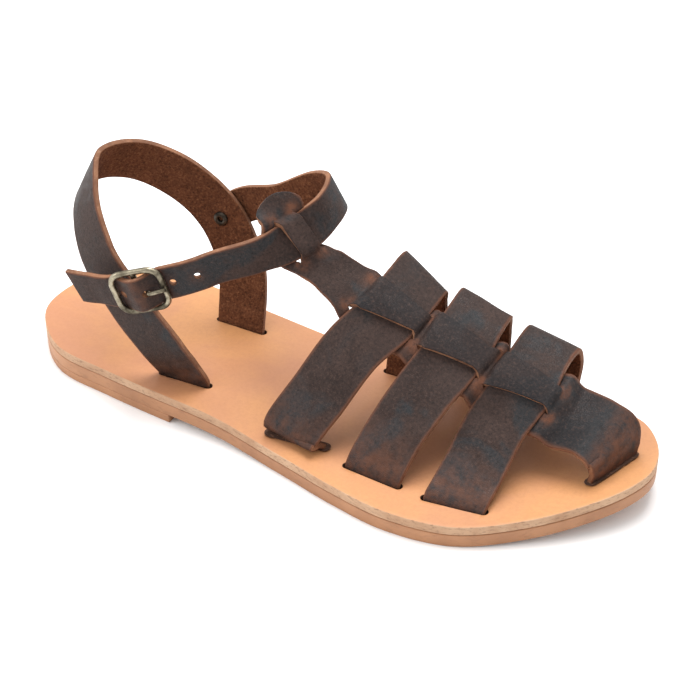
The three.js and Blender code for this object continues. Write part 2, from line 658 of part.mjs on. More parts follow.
const sandal = new THREE.Group();
function addPiece(name, geometry, material) {
  const mesh = new THREE.Mesh(geometry, material);
  mesh.name = name;
  sandal.add(mesh);
}
addPiece('insole', buildInsole(), insoleLeather);
addPiece('outsole', soleSheet(44, 2, soleLength, outsoleBottom, outsoleTop), soleLeather);
addPiece('heel_lift', soleSheet(16, 2, liftLength, () => 0, () => liftHeight), soleLeather);
addPiece('upper', buildUpper(), strapLeather);
addPiece('heel_strap', buildHeelStrap(), strapLeather);
addPiece('buckle_frame', buildBuckleFrame(), agedBrass);
addPiece('buckle_prong', buildBuckleProng(), agedBrass);
addPiece('rivet', buildRivet(), darkMetal);

// The origin goes to the middle of the sole's outline, on the floor
const middle = outlineBox.getCenter(new THREE.Vector3());
sandal.position.set(-middle.x, -middle.y, 0);

const model = new THREE.Group();
model.add(sandal);
export default model;
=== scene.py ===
# A right-foot leather sandal, dressed around its solids.
# Sizes are millimetres in the foot's own frame: X from the back of the heel to the toe, Y to the
# medial side and Z up from the floor. toFrame() turns them into the part frame's metres.
import math

import bmesh
import bpy
import numpy as np
from mathutils import Matrix, Vector, noise


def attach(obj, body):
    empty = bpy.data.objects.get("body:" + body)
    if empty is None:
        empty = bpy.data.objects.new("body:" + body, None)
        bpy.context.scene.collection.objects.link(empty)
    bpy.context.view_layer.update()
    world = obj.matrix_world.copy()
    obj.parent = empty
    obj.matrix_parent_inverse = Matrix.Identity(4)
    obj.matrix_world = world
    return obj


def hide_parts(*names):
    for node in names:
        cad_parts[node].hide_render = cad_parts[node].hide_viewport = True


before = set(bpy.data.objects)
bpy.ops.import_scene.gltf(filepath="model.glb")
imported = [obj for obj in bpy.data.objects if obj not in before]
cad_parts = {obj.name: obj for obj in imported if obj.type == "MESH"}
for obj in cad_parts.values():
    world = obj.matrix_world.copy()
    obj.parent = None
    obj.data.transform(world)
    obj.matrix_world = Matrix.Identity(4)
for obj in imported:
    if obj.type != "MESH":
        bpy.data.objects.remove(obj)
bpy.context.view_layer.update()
print("loaded the solids")


# Small helpers
def smooth(value, low, high):
    share = np.clip((np.asarray(value, float) - low) / (high - low), 0, 1)
    return share * share * (3 - 2 * share)


def unit(vectors):
    vectors = np.asarray(vectors, float)
    return vectors / np.linalg.norm(vectors, axis=-1, keepdims=True)


def lerp(a, b, share):
    return a + (b - a) * share


# A centripetal spline through points, at shares of its run from 0 to 1
def splineAt(points, share, closed=False):
    points = np.asarray(points, float)
    count = len(points) - (0 if closed else 1)
    place = np.atleast_1d(np.asarray(share, float)) * count
    row = np.minimum(place.astype(int), count - 1)
    weight = (place - row)[:, None]
    if closed:
        padded = np.vstack([points[-1:], points, points[:2]])
    else:
        padded = np.vstack([2 * points[0] - points[1], points, 2 * points[-1] - points[-2]])
    near = [padded[row + k] for k in range(4)]
    a, b, c, d = near
    ab, bc, cd = (np.sqrt(np.linalg.norm(near[k + 1] - near[k], axis=1, keepdims=True)) for k in range(3))
    leave = ((b - a) / ab - (c - a) / (ab + bc) + (c - b) / bc) * bc
    arrive = ((c - b) / bc - (d - b) / (bc + cd) + (d - c) / cd) * bc
    bend = 3 * (c - b) - 2 * leave - arrive
    return b + leave * weight + bend * weight**2 + (2 * (b - c) + leave + arrive) * weight**3


# The sole's outline and its side view
sole = {
    "length": 255,
    "ballWidth": 89,
    "insoleThickness": 3.3,
    "outsoleThickness": 5,
    "seam": 0.3,
    "liftHeight": 3.4,
    "liftLength": 81.5,
    "shankLength": 55,
    "toeSpring": 8,
    "toeSpringLength": 56,
    "around": 620,
    "rings": 22,
    "insoleRound": 0.6,
    "outsoleRound": 0.45,
    "liftRound": 0.4,
    "seamLeft": 0.05,
    "liftOverlap": 0.02,
    "heelEnd": 36,
    "toeEnd": 40,
    "liftEnd": 25,
    # along the length, then medial and lateral half widths as shares of half the ball width
    "outline": [
        (0.008, 0.25, -0.19), (0.04, 0.55, -0.46), (0.1, 0.79, -0.7), (0.2, 0.8, -0.78),
        (0.32, 0.7, -0.83), (0.42, 0.68, -0.85), (0.52, 0.71, -0.94), (0.62, 0.79, -1.06),
        (0.71, 0.88, -1.12), (0.8, 0.92, -1.03), (0.88, 0.93, -0.74), (0.94, 0.82, -0.43),
        (0.98, 0.55, -0.15), (0.998, 0.27, 0.08),
    ],
}
halfBall = sole["ballWidth"] / 2
outlineLoop = splineAt(
    [(along * sole["length"], lateral * halfBall) for along, medial, lateral in sole["outline"]]
    + [(along * sole["length"], medial * halfBall) for along, medial, lateral in sole["outline"][::-1]],
    np.linspace(0, 1, 3000, endpoint=False), closed=True)
outlineLow, outlineHigh = outlineLoop.min(axis=0), outlineLoop.max(axis=0)
frameShift = np.array([*(-(outlineLow + outlineHigh) / 2), 0])


def toFrame(points):
    return (np.asarray(points, float) + frameShift) / 1000


def outlineAt(x):
    ahead = np.roll(outlineLoop, -1, axis=0)
    crossing = (outlineLoop[:, 0] - x) * (ahead[:, 0] - x) <= 0
    a, b = outlineLoop[crossing], ahead[crossing]
    sides = lerp(a[:, 1], b[:, 1], (x - a[:, 0]) / (b[:, 0] - a[:, 0] + 1e-12))
    return sides.min(), sides.max()


def outsoleBottom(x):
    spring = np.maximum(0, (x - sole["length"] + sole["toeSpringLength"]) / sole["toeSpringLength"])
    lifted = 1 - smooth(x, sole["liftLength"], sole["liftLength"] + sole["shankLength"])
    return sole["liftHeight"] * lifted + sole["toeSpring"] * spring**2


def insoleTop(x):
    return outsoleBottom(x) + sole["outsoleThickness"] + sole["seam"] + sole["insoleThickness"]


# Materials. A node group holds each effect that several leathers or metals share
def addNode(tree, kind, inputs=None, **settings):
    made = tree.nodes.new("ShaderNode" + kind)
    for name, value in settings.items():
        setattr(made, name, value)
    for name, value in (inputs or {}).items():
        socket = made.inputs[name]
        if isinstance(value, bpy.types.NodeSocket):
            tree.links.new(value, socket)
        else:
            socket.default_value = value
    return made


def newGroup(name, inputs, outputs):
    tree = bpy.data.node_groups.new(name, "ShaderNodeTree")
    for socket, value in inputs.items():
        made = tree.interface.new_socket(socket, in_out="INPUT", socket_type="NodeSocketFloat")
        made.default_value = value
    for socket in outputs:
        tree.interface.new_socket(socket, in_out="OUTPUT", socket_type="NodeSocketFloat")
    start = tree.nodes.new("NodeGroupInput")
    end = tree.nodes.new("NodeGroupOutput")
    return tree, start.outputs, end.inputs


def mathNode(tree, operation, *values, clamp=False):
    return addNode(tree, "Math", dict(enumerate(values)), operation=operation, use_clamp=clamp).outputs[0]


def ramp(tree, value, low, high, to0=0.0, to1=1.0):
    ranged = addNode(tree, "MapRange", {0: value, 1: low, 2: high, 3: to0, 4: to1},
                     interpolation_type="SMOOTHSTEP")
    return ranged.outputs[0]


def mixColour(tree, share, a, b):
    return addNode(tree, "Mix", {0: share, 6: a, 7: b}, data_type="RGBA").outputs[2]


def noiseAt(tree, scale, detail=3.0, rough=0.5, stretch=None, warp=0.0):
    place = addNode(tree, "TexCoord").outputs["Object"]
    if stretch:
        place = addNode(tree, "Mapping", {"Vector": place, "Scale": stretch}).outputs[0]
    made = addNode(tree, "TexNoise", {"Vector": place, "Scale": scale, "Detail": detail,
                                      "Roughness": rough, "Distortion": warp})
    return made.outputs["Fac"]


# Pebbled grain: Cells to the metre; Height is up on each pebble, Pores marks dark specks
grain, given, out = newGroup("leatherGrain", {"Cells": 1500.0, "Soft": 0.12}, ["Height", "Pores"])
place = addNode(grain, "TexCoord").outputs["Object"]
bent = addNode(grain, "TexNoise", {"Vector": place, "Scale": 420.0, "Detail": 2.0})
bentBy = addNode(grain, "VectorMath", {0: bent.outputs["Color"], 3: 0.0016}, operation="SCALE").outputs[0]
placed = addNode(grain, "VectorMath", {0: place, 1: bentBy}, operation="ADD").outputs[0]
cells = addNode(grain, "TexVoronoi", {"Vector": placed, "Scale": given["Cells"]},
                feature="DISTANCE_TO_EDGE")
pebble = ramp(grain, cells.outputs["Distance"], 0.0, given["Soft"])
fine = noiseAt(grain, 5200.0, 2.0, 0.6)
grain.links.new(mathNode(grain, "MULTIPLY_ADD", fine, 0.35, pebble), out["Height"])
grain.links.new(ramp(grain, fine, 0.62, 0.75), out["Pores"])

# Slow change of tone: Size in blotches to the metre
tone, given, out = newGroup("slowTone", {"Size": 45.0, "Contrast": 0.25}, ["Tone"])
slow = noiseAt(tone, given["Size"], 4.0, 0.55, warp=0.6)
low = mathNode(tone, "SUBTRACT", 0.5, given["Contrast"])
high = mathNode(tone, "ADD", 0.5, given["Contrast"])
tone.links.new(ramp(tone, slow, low, high), out["Tone"])

# Wear of a strap: more at its edges, by its map, and where its own attribute of rubbing and painted shade
# is above zero
wear, given, out = newGroup("strapWear", {"Edge": 0.9, "Amount": 1.0}, ["Mask"])
mapped = addNode(wear, "UVMap", uv_map="alongStrap").outputs[0]
acrossMap = addNode(wear, "SeparateXYZ", {0: mapped}).outputs[1]
fromMiddle = mathNode(wear, "ABSOLUTE", mathNode(wear, "MULTIPLY_ADD", acrossMap, 2.0, -1.0))
patchy = noiseAt(wear, 260.0, 4.0, 0.65)
edgeMask = ramp(wear, mathNode(wear, "MULTIPLY_ADD", patchy, 0.12, fromMiddle), given["Edge"], 1.08)
rubbed = addNode(wear, "Attribute", attribute_name="rubAndShade").outputs["Fac"]
rubPatchy = mathNode(wear, "MULTIPLY", rubbed, ramp(wear, patchy, 0.25, 0.7))
both = mathNode(wear, "MAXIMUM", edgeMask, rubPatchy)
wear.links.new(mathNode(wear, "MULTIPLY", both, given["Amount"], clamp=True), out["Mask"])

# Cut or suede fibres: Height and pale Flecks
fibres, given, out = newGroup("leatherFibres", {"Size": 1800.0}, ["Height", "Flecks"])
laid = noiseAt(fibres, given["Size"], 4.0, 0.7, stretch=(0.35, 0.35, 1.0), warp=0.4)
fibres.links.new(laid, out["Height"])
fibres.links.new(ramp(fibres, laid, 0.5, 0.68), out["Flecks"])


def useGroup(tree, group, **values):
    made = tree.nodes.new("ShaderNodeGroup")
    made.node_tree = group
    for name, value in values.items():
        made.inputs[name].default_value = value
    return made.outputs


def newMaterial(name, roughness=0.5, metallic=0.0, **constants):
    material = bpy.data.materials.new(name)
    material.use_nodes = True
    tree = material.node_tree
    shader = next(node for node in tree.nodes if node.type == "BSDF_PRINCIPLED")
    shader.inputs["Roughness"].default_value = roughness
    shader.inputs["Metallic"].default_value = metallic
    for socket, value in constants.items():
        shader.inputs[socket].default_value = value
    return material, tree, shader.inputs


def setBump(tree, shader, height, distance, strength=1.0):
    bump = addNode(tree, "Bump", {"Height": height, "Distance": distance, "Strength": strength})
    tree.links.new(bump.outputs[0], shader["Normal"])


def addUp(tree, *terms):
    total = 0.0
    for value, weight in terms:
        total = mathNode(tree, "MULTIPLY_ADD", value, weight, total)
    return total


def tonedBody(tree, size, contrast, dark, pale):
    return mixColour(tree, useGroup(tree, tone, Size=size, Contrast=contrast)["Tone"], dark, pale)


# A leather of two tones with flecks of a third along its fibres
def fibreMaterial(name, roughness, toned, size, share, flecked, depth, strength):
    material, tree, shader = newMaterial(name, roughness)
    fibreOut = useGroup(tree, fibres, Size=size)
    fleck = mathNode(tree, "MULTIPLY", fibreOut["Flecks"], share)
    tree.links.new(mixColour(tree, fleck, tonedBody(tree, *toned), flecked), shader["Base Color"])
    setBump(tree, shader, fibreOut["Height"], depth, strength)
    return material


# Oiled dark brown leather, paler where it is pulled and reddish brown where it is rubbed
oiled = {
    "dark": (0.022, 0.0112, 0.0086, 1),
    "pale": (0.047, 0.0285, 0.0235, 1),
    "cool": (0.019, 0.024, 0.0275, 1),
    "rubbed": (0.15, 0.056, 0.028, 1),
    # near black: painted shade on the tongue's band over the cross straps, and a darker tone on its toe
    "bandShadeToeDark": (0.0095, 0.0075, 0.0085, 1),
    "speck": (0.006, 0.0035, 0.003, 1),
    "fine": (0.076, 0.044, 0.034, 1),
    "roughness": (0.45, 0.68),
}
strapOuter, tree, shader = newMaterial("oiledLeather", **{"Specular IOR Level": 0.2})
grainOut = useGroup(tree, grain, Cells=1500.0, Soft=0.16)
toneOut = useGroup(tree, tone, Size=60.0, Contrast=0.22)["Tone"]
wearOut = useGroup(tree, wear, Edge=0.93, Amount=0.85)["Mask"]
body = mixColour(tree, toneOut, oiled["dark"], oiled["pale"])
coolOut = ramp(tree, noiseAt(tree, 42.0, 3.0, 0.6, warp=0.8), 0.48, 0.64, 0.0, 0.75)
body = mixColour(tree, coolOut, body, oiled["cool"])
# Where the attribute is below zero the colour goes near black: painted shade on the tongue's band over the
# cross straps, and a darker toe
rubAndShadeLevel = addNode(tree, "Attribute", attribute_name="rubAndShade").outputs["Fac"]
body = mixColour(tree, ramp(tree, rubAndShadeLevel, 0.0, -1.0), body, oiled["bandShadeToeDark"])
mottle = noiseAt(tree, 950.0, 3.0, 0.75)
body = mixColour(tree, ramp(tree, mottle, 0.5, 0.72, 0.0, 0.55), body, oiled["fine"])
body = mixColour(tree, ramp(tree, mottle, 0.5, 0.3, 0.0, 0.6), body, oiled["speck"])
body = mixColour(tree, mathNode(tree, "MULTIPLY", grainOut["Pores"], 0.35), body, oiled["speck"])
tree.links.new(mixColour(tree, wearOut, body, oiled["rubbed"]), shader["Base Color"])
tree.links.new(ramp(tree, toneOut, 0.0, 1.0, *oiled["roughness"]), shader["Roughness"])
creased = noiseAt(tree, 160.0, 5.0, 0.6)
setBump(tree, shader, addUp(tree, (grainOut["Height"], 1.0), (creased, 1.5)), 0.00012, 0.7)

# Light brown cut edge
cutEdge = fibreMaterial(
    "cutEdge", 0.8, (120.0, 0.2, (0.12, 0.045, 0.019, 1), (0.235, 0.1, 0.045, 1)),
    1500.0, 0.4, (0.34, 0.19, 0.115, 1), 0.00025, 0.8)

# Reddish brown suede of the straps' inner side
fleshSide, tree, shader = newMaterial("fleshSide", roughness=0.95, **{"Specular IOR Level": 0.15})
nap = noiseAt(tree, 1050.0, 4.0, 0.8)
body = tonedBody(tree, 110.0, 0.25, (0.088, 0.031, 0.014, 1), (0.135, 0.05, 0.023, 1))
body = mixColour(tree, ramp(tree, nap, 0.5, 0.32, 0.0, 0.85), body, (0.022, 0.008, 0.004, 1))
body = mixColour(tree, ramp(tree, nap, 0.5, 0.7, 0.0, 0.8), body, (0.26, 0.11, 0.052, 1))
tree.links.new(body, shader["Base Color"])
setBump(tree, shader, nap, 0.0004, 0.8)
strapMaterials = [strapOuter, cutEdge, fleshSide]

# Natural tan insole with a satin top
insoleTopLeather, tree, shader = newMaterial("insoleTop", roughness=0.42, **{"Specular IOR Level": 0.32})
grainOut = useGroup(tree, grain, Cells=1100.0, Soft=0.1)
body = tonedBody(tree, 13.0, 0.14, (0.455, 0.205, 0.108, 1), (0.545, 0.258, 0.106, 1))
fineTone = ramp(tree, noiseAt(tree, 700.0, 4.0, 0.7), 0.35, 0.75, 0.0, 0.3)
tree.links.new(mixColour(tree, fineTone, body, (0.37, 0.16, 0.074, 1)), shader["Base Color"])
tree.links.new(ramp(tree, noiseAt(tree, 90.0, 3.0), 0.3, 0.7, 0.36, 0.5), shader["Roughness"])
waves = noiseAt(tree, 60.0, 4.0)
setBump(tree, shader, addUp(tree, (grainOut["Height"], 0.35), (waves, 2.0)), 0.00008, 0.5)

# Pale rough edge of the insole
insoleEdge = fibreMaterial(
    "insoleEdge", 0.85, (70.0, 0.25, (0.37, 0.205, 0.115, 1), (0.50, 0.32, 0.2, 1)),
    1400.0, 0.7, (0.19, 0.1, 0.055, 1), 0.0003, 0.8)

# Walls of the slots: the insole's cut fibres, their dark brown painted shade inside the narrow recesses
slotWallShade, tree, shader = newMaterial("slotWallShade", roughness=0.9)
fibreOut = useGroup(tree, fibres, Size=1400.0)
body = mixColour(tree, fibreOut["Flecks"], (0.06, 0.026, 0.014, 1), (0.17, 0.08, 0.045, 1))
tree.links.new(body, shader["Base Color"])

# Smooth tan outsole and lift
soleLeather = fibreMaterial(
    "soleLeather", 0.55, (40.0, 0.25, (0.31, 0.138, 0.062, 1), (0.42, 0.2, 0.094, 1)),
    700.0, 0.35, (0.2, 0.085, 0.038, 1), 0.0001, 0.5)


def metalMaterial(name, dark, bright, roughness):
    material, tree, shader = newMaterial(name, metallic=1.0)
    toneOut = useGroup(tree, tone, Size=210.0, Contrast=0.2)["Tone"]
    spots = ramp(tree, noiseAt(tree, 1500.0, 4.0, 0.7), 0.5, 0.7, 0.0, 0.6)
    body = mixColour(tree, toneOut, dark, bright)
    tree.links.new(mixColour(tree, spots, body, dark), shader["Base Color"])
    tree.links.new(ramp(tree, toneOut, 0.0, 1.0, *roughness), shader["Roughness"])
    setBump(tree, shader, noiseAt(tree, 900.0, 4.0, 0.6), 0.00012, 0.5)
    return material


agedBrass = metalMaterial("agedBrass", (0.06, 0.05, 0.034, 1), (0.37, 0.325, 0.235, 1), (0.5, 0.3))
darkMetal = metalMaterial("darkMetal", (0.022, 0.018, 0.015, 1), (0.085, 0.07, 0.055, 1), (0.5, 0.35))
print("mixed the leathers and metals")


# Meshes
def makePiece(name, points, faces, replaced, materials, faceMaterials=None):
    mesh = bpy.data.meshes.new(name)
    mesh.from_pydata([tuple(p) for p in toFrame(points)], [], [tuple(f) for f in faces])
    for material in materials:
        mesh.materials.append(material)
    if faceMaterials is not None:
        mesh.polygons.foreach_set("material_index", faceMaterials)
    mesh.polygons.foreach_set("use_smooth", [True] * len(mesh.polygons))
    piece = bpy.data.objects.new(name, mesh)
    bpy.context.scene.collection.objects.link(piece)
    if replaced:
        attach(piece, "root")
        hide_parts(replaced)
    return piece


def weld(mesh, distance=0.001, recalc=False):
    welded = bmesh.new()
    welded.from_mesh(mesh)
    bmesh.ops.remove_doubles(welded, verts=welded.verts, dist=distance / 1000)
    bmesh.ops.dissolve_degenerate(welded, edges=welded.edges, dist=distance / 5000)
    if recalc:
        bmesh.ops.recalc_face_normals(welded, faces=welded.faces)
    welded.to_mesh(mesh)
    welded.free()


def bakeModifiers(piece, sharpAngle=None):
    graph = bpy.context.evaluated_depsgraph_get()
    baked = bpy.data.meshes.new_from_object(
        piece.evaluated_get(graph), preserve_all_data_layers=True, depsgraph=graph)
    piece.modifiers.clear()
    old = piece.data
    piece.data = baked
    bpy.data.meshes.remove(old)
    baked.name = piece.name
    if sharpAngle:
        baked.set_sharp_from_angle(angle=math.radians(sharpAngle))


def cutAway(piece, cutter, sharpAngle=40):
    cut = piece.modifiers.new("cut", "BOOLEAN")
    cut.operation = "DIFFERENCE"
    cut.solver = "EXACT"
    cut.object = cutter
    bakeModifiers(piece, sharpAngle)
    bpy.data.meshes.remove(cutter.data)


# Quads between the rows of a grid. A closed row joins its last column to its first, and in a
# closed column the last row joins the first
def gridFaces(rows, columns, start=0, closedRow=False, closedColumn=False):
    faces = []
    for i in range(rows if closedColumn else rows - 1):
        low, high = start + i * columns, start + (i + 1) % rows * columns
        for j in range(columns if closedRow else columns - 1):
            k = (j + 1) % columns
            faces.append((low + j, low + k, high + k, high + j))
    return faces


def ringFaces(rings, around, start=0):
    return gridFaces(rings, around, start, closedRow=True)


def resampled(loop, count):
    ahead = np.roll(loop, -1, axis=0)
    arcs = np.concatenate([[0], np.cumsum(np.linalg.norm(ahead - loop, axis=1))])
    closed = np.vstack([loop, loop[:1]])
    places = np.linspace(0, arcs[-1], count, endpoint=False)
    return np.stack([np.interp(places, arcs, closed[:, k]) for k in range(2)], axis=1)


# One layer of the sole: rings that shrink from its edge to the middle line, with round edges
def soleLayer(name, node, loop, ends, bottom, thickness, edge, materials):
    reach = np.clip(loop[:, 0], *ends)
    middles = {x: sum(outlineAt(x)) / 2 for x in np.unique(reach)}
    anchors = np.stack([reach, [middles[x] for x in reach]], axis=1)
    away = np.linalg.norm(loop - anchors, axis=1)
    inner = [(share, 0, 0) for share in np.linspace(0, 0.96, sole["rings"])]
    turn = [(edge * (1 - math.sin(a)), edge * (1 - math.cos(a))) for a in (0, 0.4, 0.8, 1.2, math.pi / 2)]
    rings = inner + [(1, inset, height) for inset, height in turn]
    rings += [(1, inset, thickness - height) for inset, height in turn[::-1]]
    rings += [(share, 0, thickness) for share, inset, height in inner[::-1]]
    points = []
    for share, inset, height in rings:
        ring = anchors + (loop - anchors) * (share - inset / away)[:, None]
        points.append(np.column_stack([ring, bottom(ring[:, 0]) + height]))
    kinds = [2] * (len(inner) + 1) + [1] * (2 * len(turn) - 3) + [0] * (len(inner) + 1)
    faceMaterials = np.repeat(kinds[:len(rings) - 1], len(loop))
    faces = ringFaces(len(rings), len(loop))
    piece = makePiece(name, np.vstack(points), faces, node, materials, faceMaterials)
    weld(piece.data, 0.01, recalc=True)
    return piece


def toSeam(x):
    return outsoleBottom(x) + sole["outsoleThickness"] + sole["seamLeft"]


soleEdgeLoop = resampled(outlineLoop[::-1], sole["around"])
soleEnds = (outlineLow[0] + sole["heelEnd"], outlineHigh[0] - sole["toeEnd"])
# The insole's fourth material is the painted shade of its slot walls
insole = soleLayer("insole", "insole", soleEdgeLoop, soleEnds, toSeam,
                   sole["insoleThickness"] + sole["seam"] - sole["seamLeft"], sole["insoleRound"],
                   [insoleTopLeather, insoleEdge, insoleEdge, slotWallShade])
soleLayer("outsole", "outsole", soleEdgeLoop, soleEnds, outsoleBottom,
          sole["outsoleThickness"], sole["outsoleRound"], [soleLeather] * 3)
heelPart = outlineLoop[outlineLoop[:, 0] < sole["liftLength"]]
split = np.argmax(np.abs(np.diff(heelPart[:, 1]))) + 1
heelPart = np.roll(heelPart, -split, axis=0)
liftFront = [(sole["liftLength"], side) for side in outlineAt(sole["liftLength"])]
liftLoop = resampled(np.vstack([liftFront[1:], heelPart, liftFront[:1]])[::-1], sole["around"] // 2)
soleLayer("heelLift", "heel_lift", liftLoop, (soleEnds[0], sole["liftLength"] - sole["liftEnd"]),
          np.zeros_like, sole["liftHeight"] + sole["liftOverlap"], sole["liftRound"],
          [soleLeather] * 3)
print("laid the insole, outsole and lift")


# A strap's path through rows of middles, each with the direction of the strap's width
class StrapPath:
    def __init__(self, middles, widths):
        self.middles = np.array(middles, float)
        self.widths = np.array(widths, float)
        self.count = len(middles) - 1
        self.shares = np.linspace(0, 1, 2001)
        steps = np.linalg.norm(np.diff(splineAt(self.middles, self.shares), axis=0), axis=1)
        self.arcs = np.concatenate([[0], np.cumsum(steps)])
        self.length = self.arcs[-1]

    def arc(self, share):
        return np.interp(share, self.shares, self.arcs)

    def shareAt(self, arc):
        return np.interp(arc, self.arcs, self.shares)

    def at(self, share):
        share = np.atleast_1d(np.asarray(share, float))
        point = splineAt(self.middles, share)
        ahead = splineAt(self.middles, np.minimum(share + 1e-4, 1))
        tangent = unit(ahead - splineAt(self.middles, np.maximum(share - 1e-4, 0)))
        place = share * self.count
        row = np.minimum(place.astype(int), self.count - 1)
        turn = smooth(place - row, 0, 1)[:, None]
        across = lerp(self.widths[row], self.widths[row + 1], turn)
        across = unit(across - (across * tangent).sum(axis=1, keepdims=True) * tangent)
        return point, tangent, across, unit(np.cross(across, tangent))

    def atRow(self, row):
        return [value[0] for value in self.at(row / self.count)]


straps = {
    "thickness": 2.2,
    "clearance": 0.3,
    "edgeRound": 0.32,
    "step": 0.85,  # size of a mesh cell
    "edgeStep": 0.1,
    "creaseEase": 1.5,
    "bumps": [(11, 0.14), (3.4, 0.04)],  # size and height
    "crossWidth": 22,
    "heelWidth": 20.5,
    "ankleWidth": 14.5,
    "buckleWidth": 13.6,
    "tipCut": 5.5,
    "instepHeight": 52,
    "ankleHeight": 70,
    "spread": 30,
    "heelMiddle": -0.06,
    "slotClearance": 0.55,
    "slotLonger": 1.1,
    "slotReach": 0.6,
}


# A row of a table is along, side and high, then fore, out and rise of the width's direction
def footPoint(row, reach, rise):
    x = row[0] * sole["length"]
    return np.array([x, row[1] * reach, insoleTop(x) + row[2] * rise])


def instepPoint(row):
    return footPoint(row, halfBall, straps["instepHeight"])


def anklePoint(row):
    return footPoint(row, straps["spread"], straps["ankleHeight"]) + [0, straps["heelMiddle"] * halfBall, 0]


def widthsOf(rows):
    return [np.array(row[3:]) for row in rows]


def slotEnd(point):
    return np.array([*point[:2], insoleTop(point[0]) - straps["slotReach"] * sole["insoleThickness"]])


# A strap's path with both of its ends in slots
def slottedPath(middles, widths):
    low, high = slotEnd(middles[0]), slotEnd(middles[-1])
    return StrapPath([low] + middles + [high], [widths[0]] + widths + [widths[-1]])


def bumps(points, size, seed):
    return np.array([noise.noise(Vector((*(p / size)[:2], p[2] / size + seed))) for p in points])


# Lays a grid of shares and offsets on a path. Creases are (arc, slope, from, to, depth, width),
# and cup is how far the strap's edges drop 10 mm from its middle
def layStrip(path, shares, offsets, lift, seed, rubAndShade, creases=(), cup=0.0):
    flat, side = shares.ravel(), offsets.ravel()
    point, tangent, across, outward = path.at(flat)
    arc = path.arc(flat)
    height = lift(flat, side) - cup * (side / 10) ** 2
    ease = straps["creaseEase"]
    for place, slope, low, high, depth, width in creases:
        inside = smooth(side, low - ease, low + ease) * (1 - smooth(side, high - ease, high + ease))
        height = height - depth * inside * np.exp(-((arc - place - slope * side) / width) ** 2)
    flatPoint = point + across * side[:, None]
    for size, rise in straps["bumps"]:
        height = height + rise * bumps(flatPoint, size, seed)
    laid = flatPoint + outward * height[:, None]
    return laid.reshape(*shares.shape, 3), arc.reshape(shares.shape), rubAndShade(flat, side).reshape(shares.shape)


# Share of the wall's thickness at a distance from a cut edge, so that the edge comes out round
def wallAt(distance):
    turn = straps["edgeRound"]
    drop = turn - np.sqrt(turn**2 - (turn - np.clip(distance, 0, turn)) ** 2)
    return 1 - drop / (straps["thickness"] / 2)


# Places from 0 to a length, one mesh cell apart, with closer ones at the rounded ends
def edgeSteps(length, first=True, last=True):
    close = [0, straps["edgeStep"], straps["edgeRound"]]
    start = close if first else [0]
    end = [length - place for place in close[::-1]] if last else [length]
    between = np.linspace(start[-1], end[0], steps(end[0] - start[-1]))[1:-1]
    return np.concatenate([start, between, end])


def strapPiece(name, strips, replaced, cutter=None):
    points, faces, maps, rubAndShadeValues, walls = [], [], [], [], []
    for grid, arcs, rubAndShade, acrossShares, wall in strips:
        faces += gridFaces(*grid.shape[:2], sum(len(p) for p in points))
        points.append(grid.reshape(-1, 3))
        maps.append(np.stack([arcs.ravel() / 100, acrossShares.ravel()], axis=1))
        rubAndShadeValues.append(rubAndShade.ravel())
        walls.append(wall.ravel())
    piece = makePiece(name, np.vstack(points), faces, replaced, strapMaterials)
    mesh = piece.data
    layer = mesh.uv_layers.new(name="alongStrap")
    corners = np.zeros(len(mesh.loops), int)
    mesh.loops.foreach_get("vertex_index", corners)
    layer.data.foreach_set("uv", np.vstack(maps)[corners].ravel())
    mesh.attributes.new("rubAndShade", "FLOAT", "POINT").data.foreach_set("value", np.concatenate(rubAndShadeValues))
    group = piece.vertex_groups.new(name="wall")
    for index, share in enumerate(np.concatenate(walls)):
        group.add([index], float(share), "REPLACE")
    weld(mesh)
    solid = piece.modifiers.new("thickness", "SOLIDIFY")
    solid.thickness = straps["thickness"] / 1000
    solid.offset = 0
    solid.vertex_group = "wall"
    solid.material_offset = 2
    solid.material_offset_rim = 1
    bakeModifiers(piece)
    if cutter:
        cutAway(piece, cutter)
    return piece


def steps(length):
    return max(int(round(length / straps["step"])), 2) + 1


def noLift(shares, offsets):
    return 0 * shares


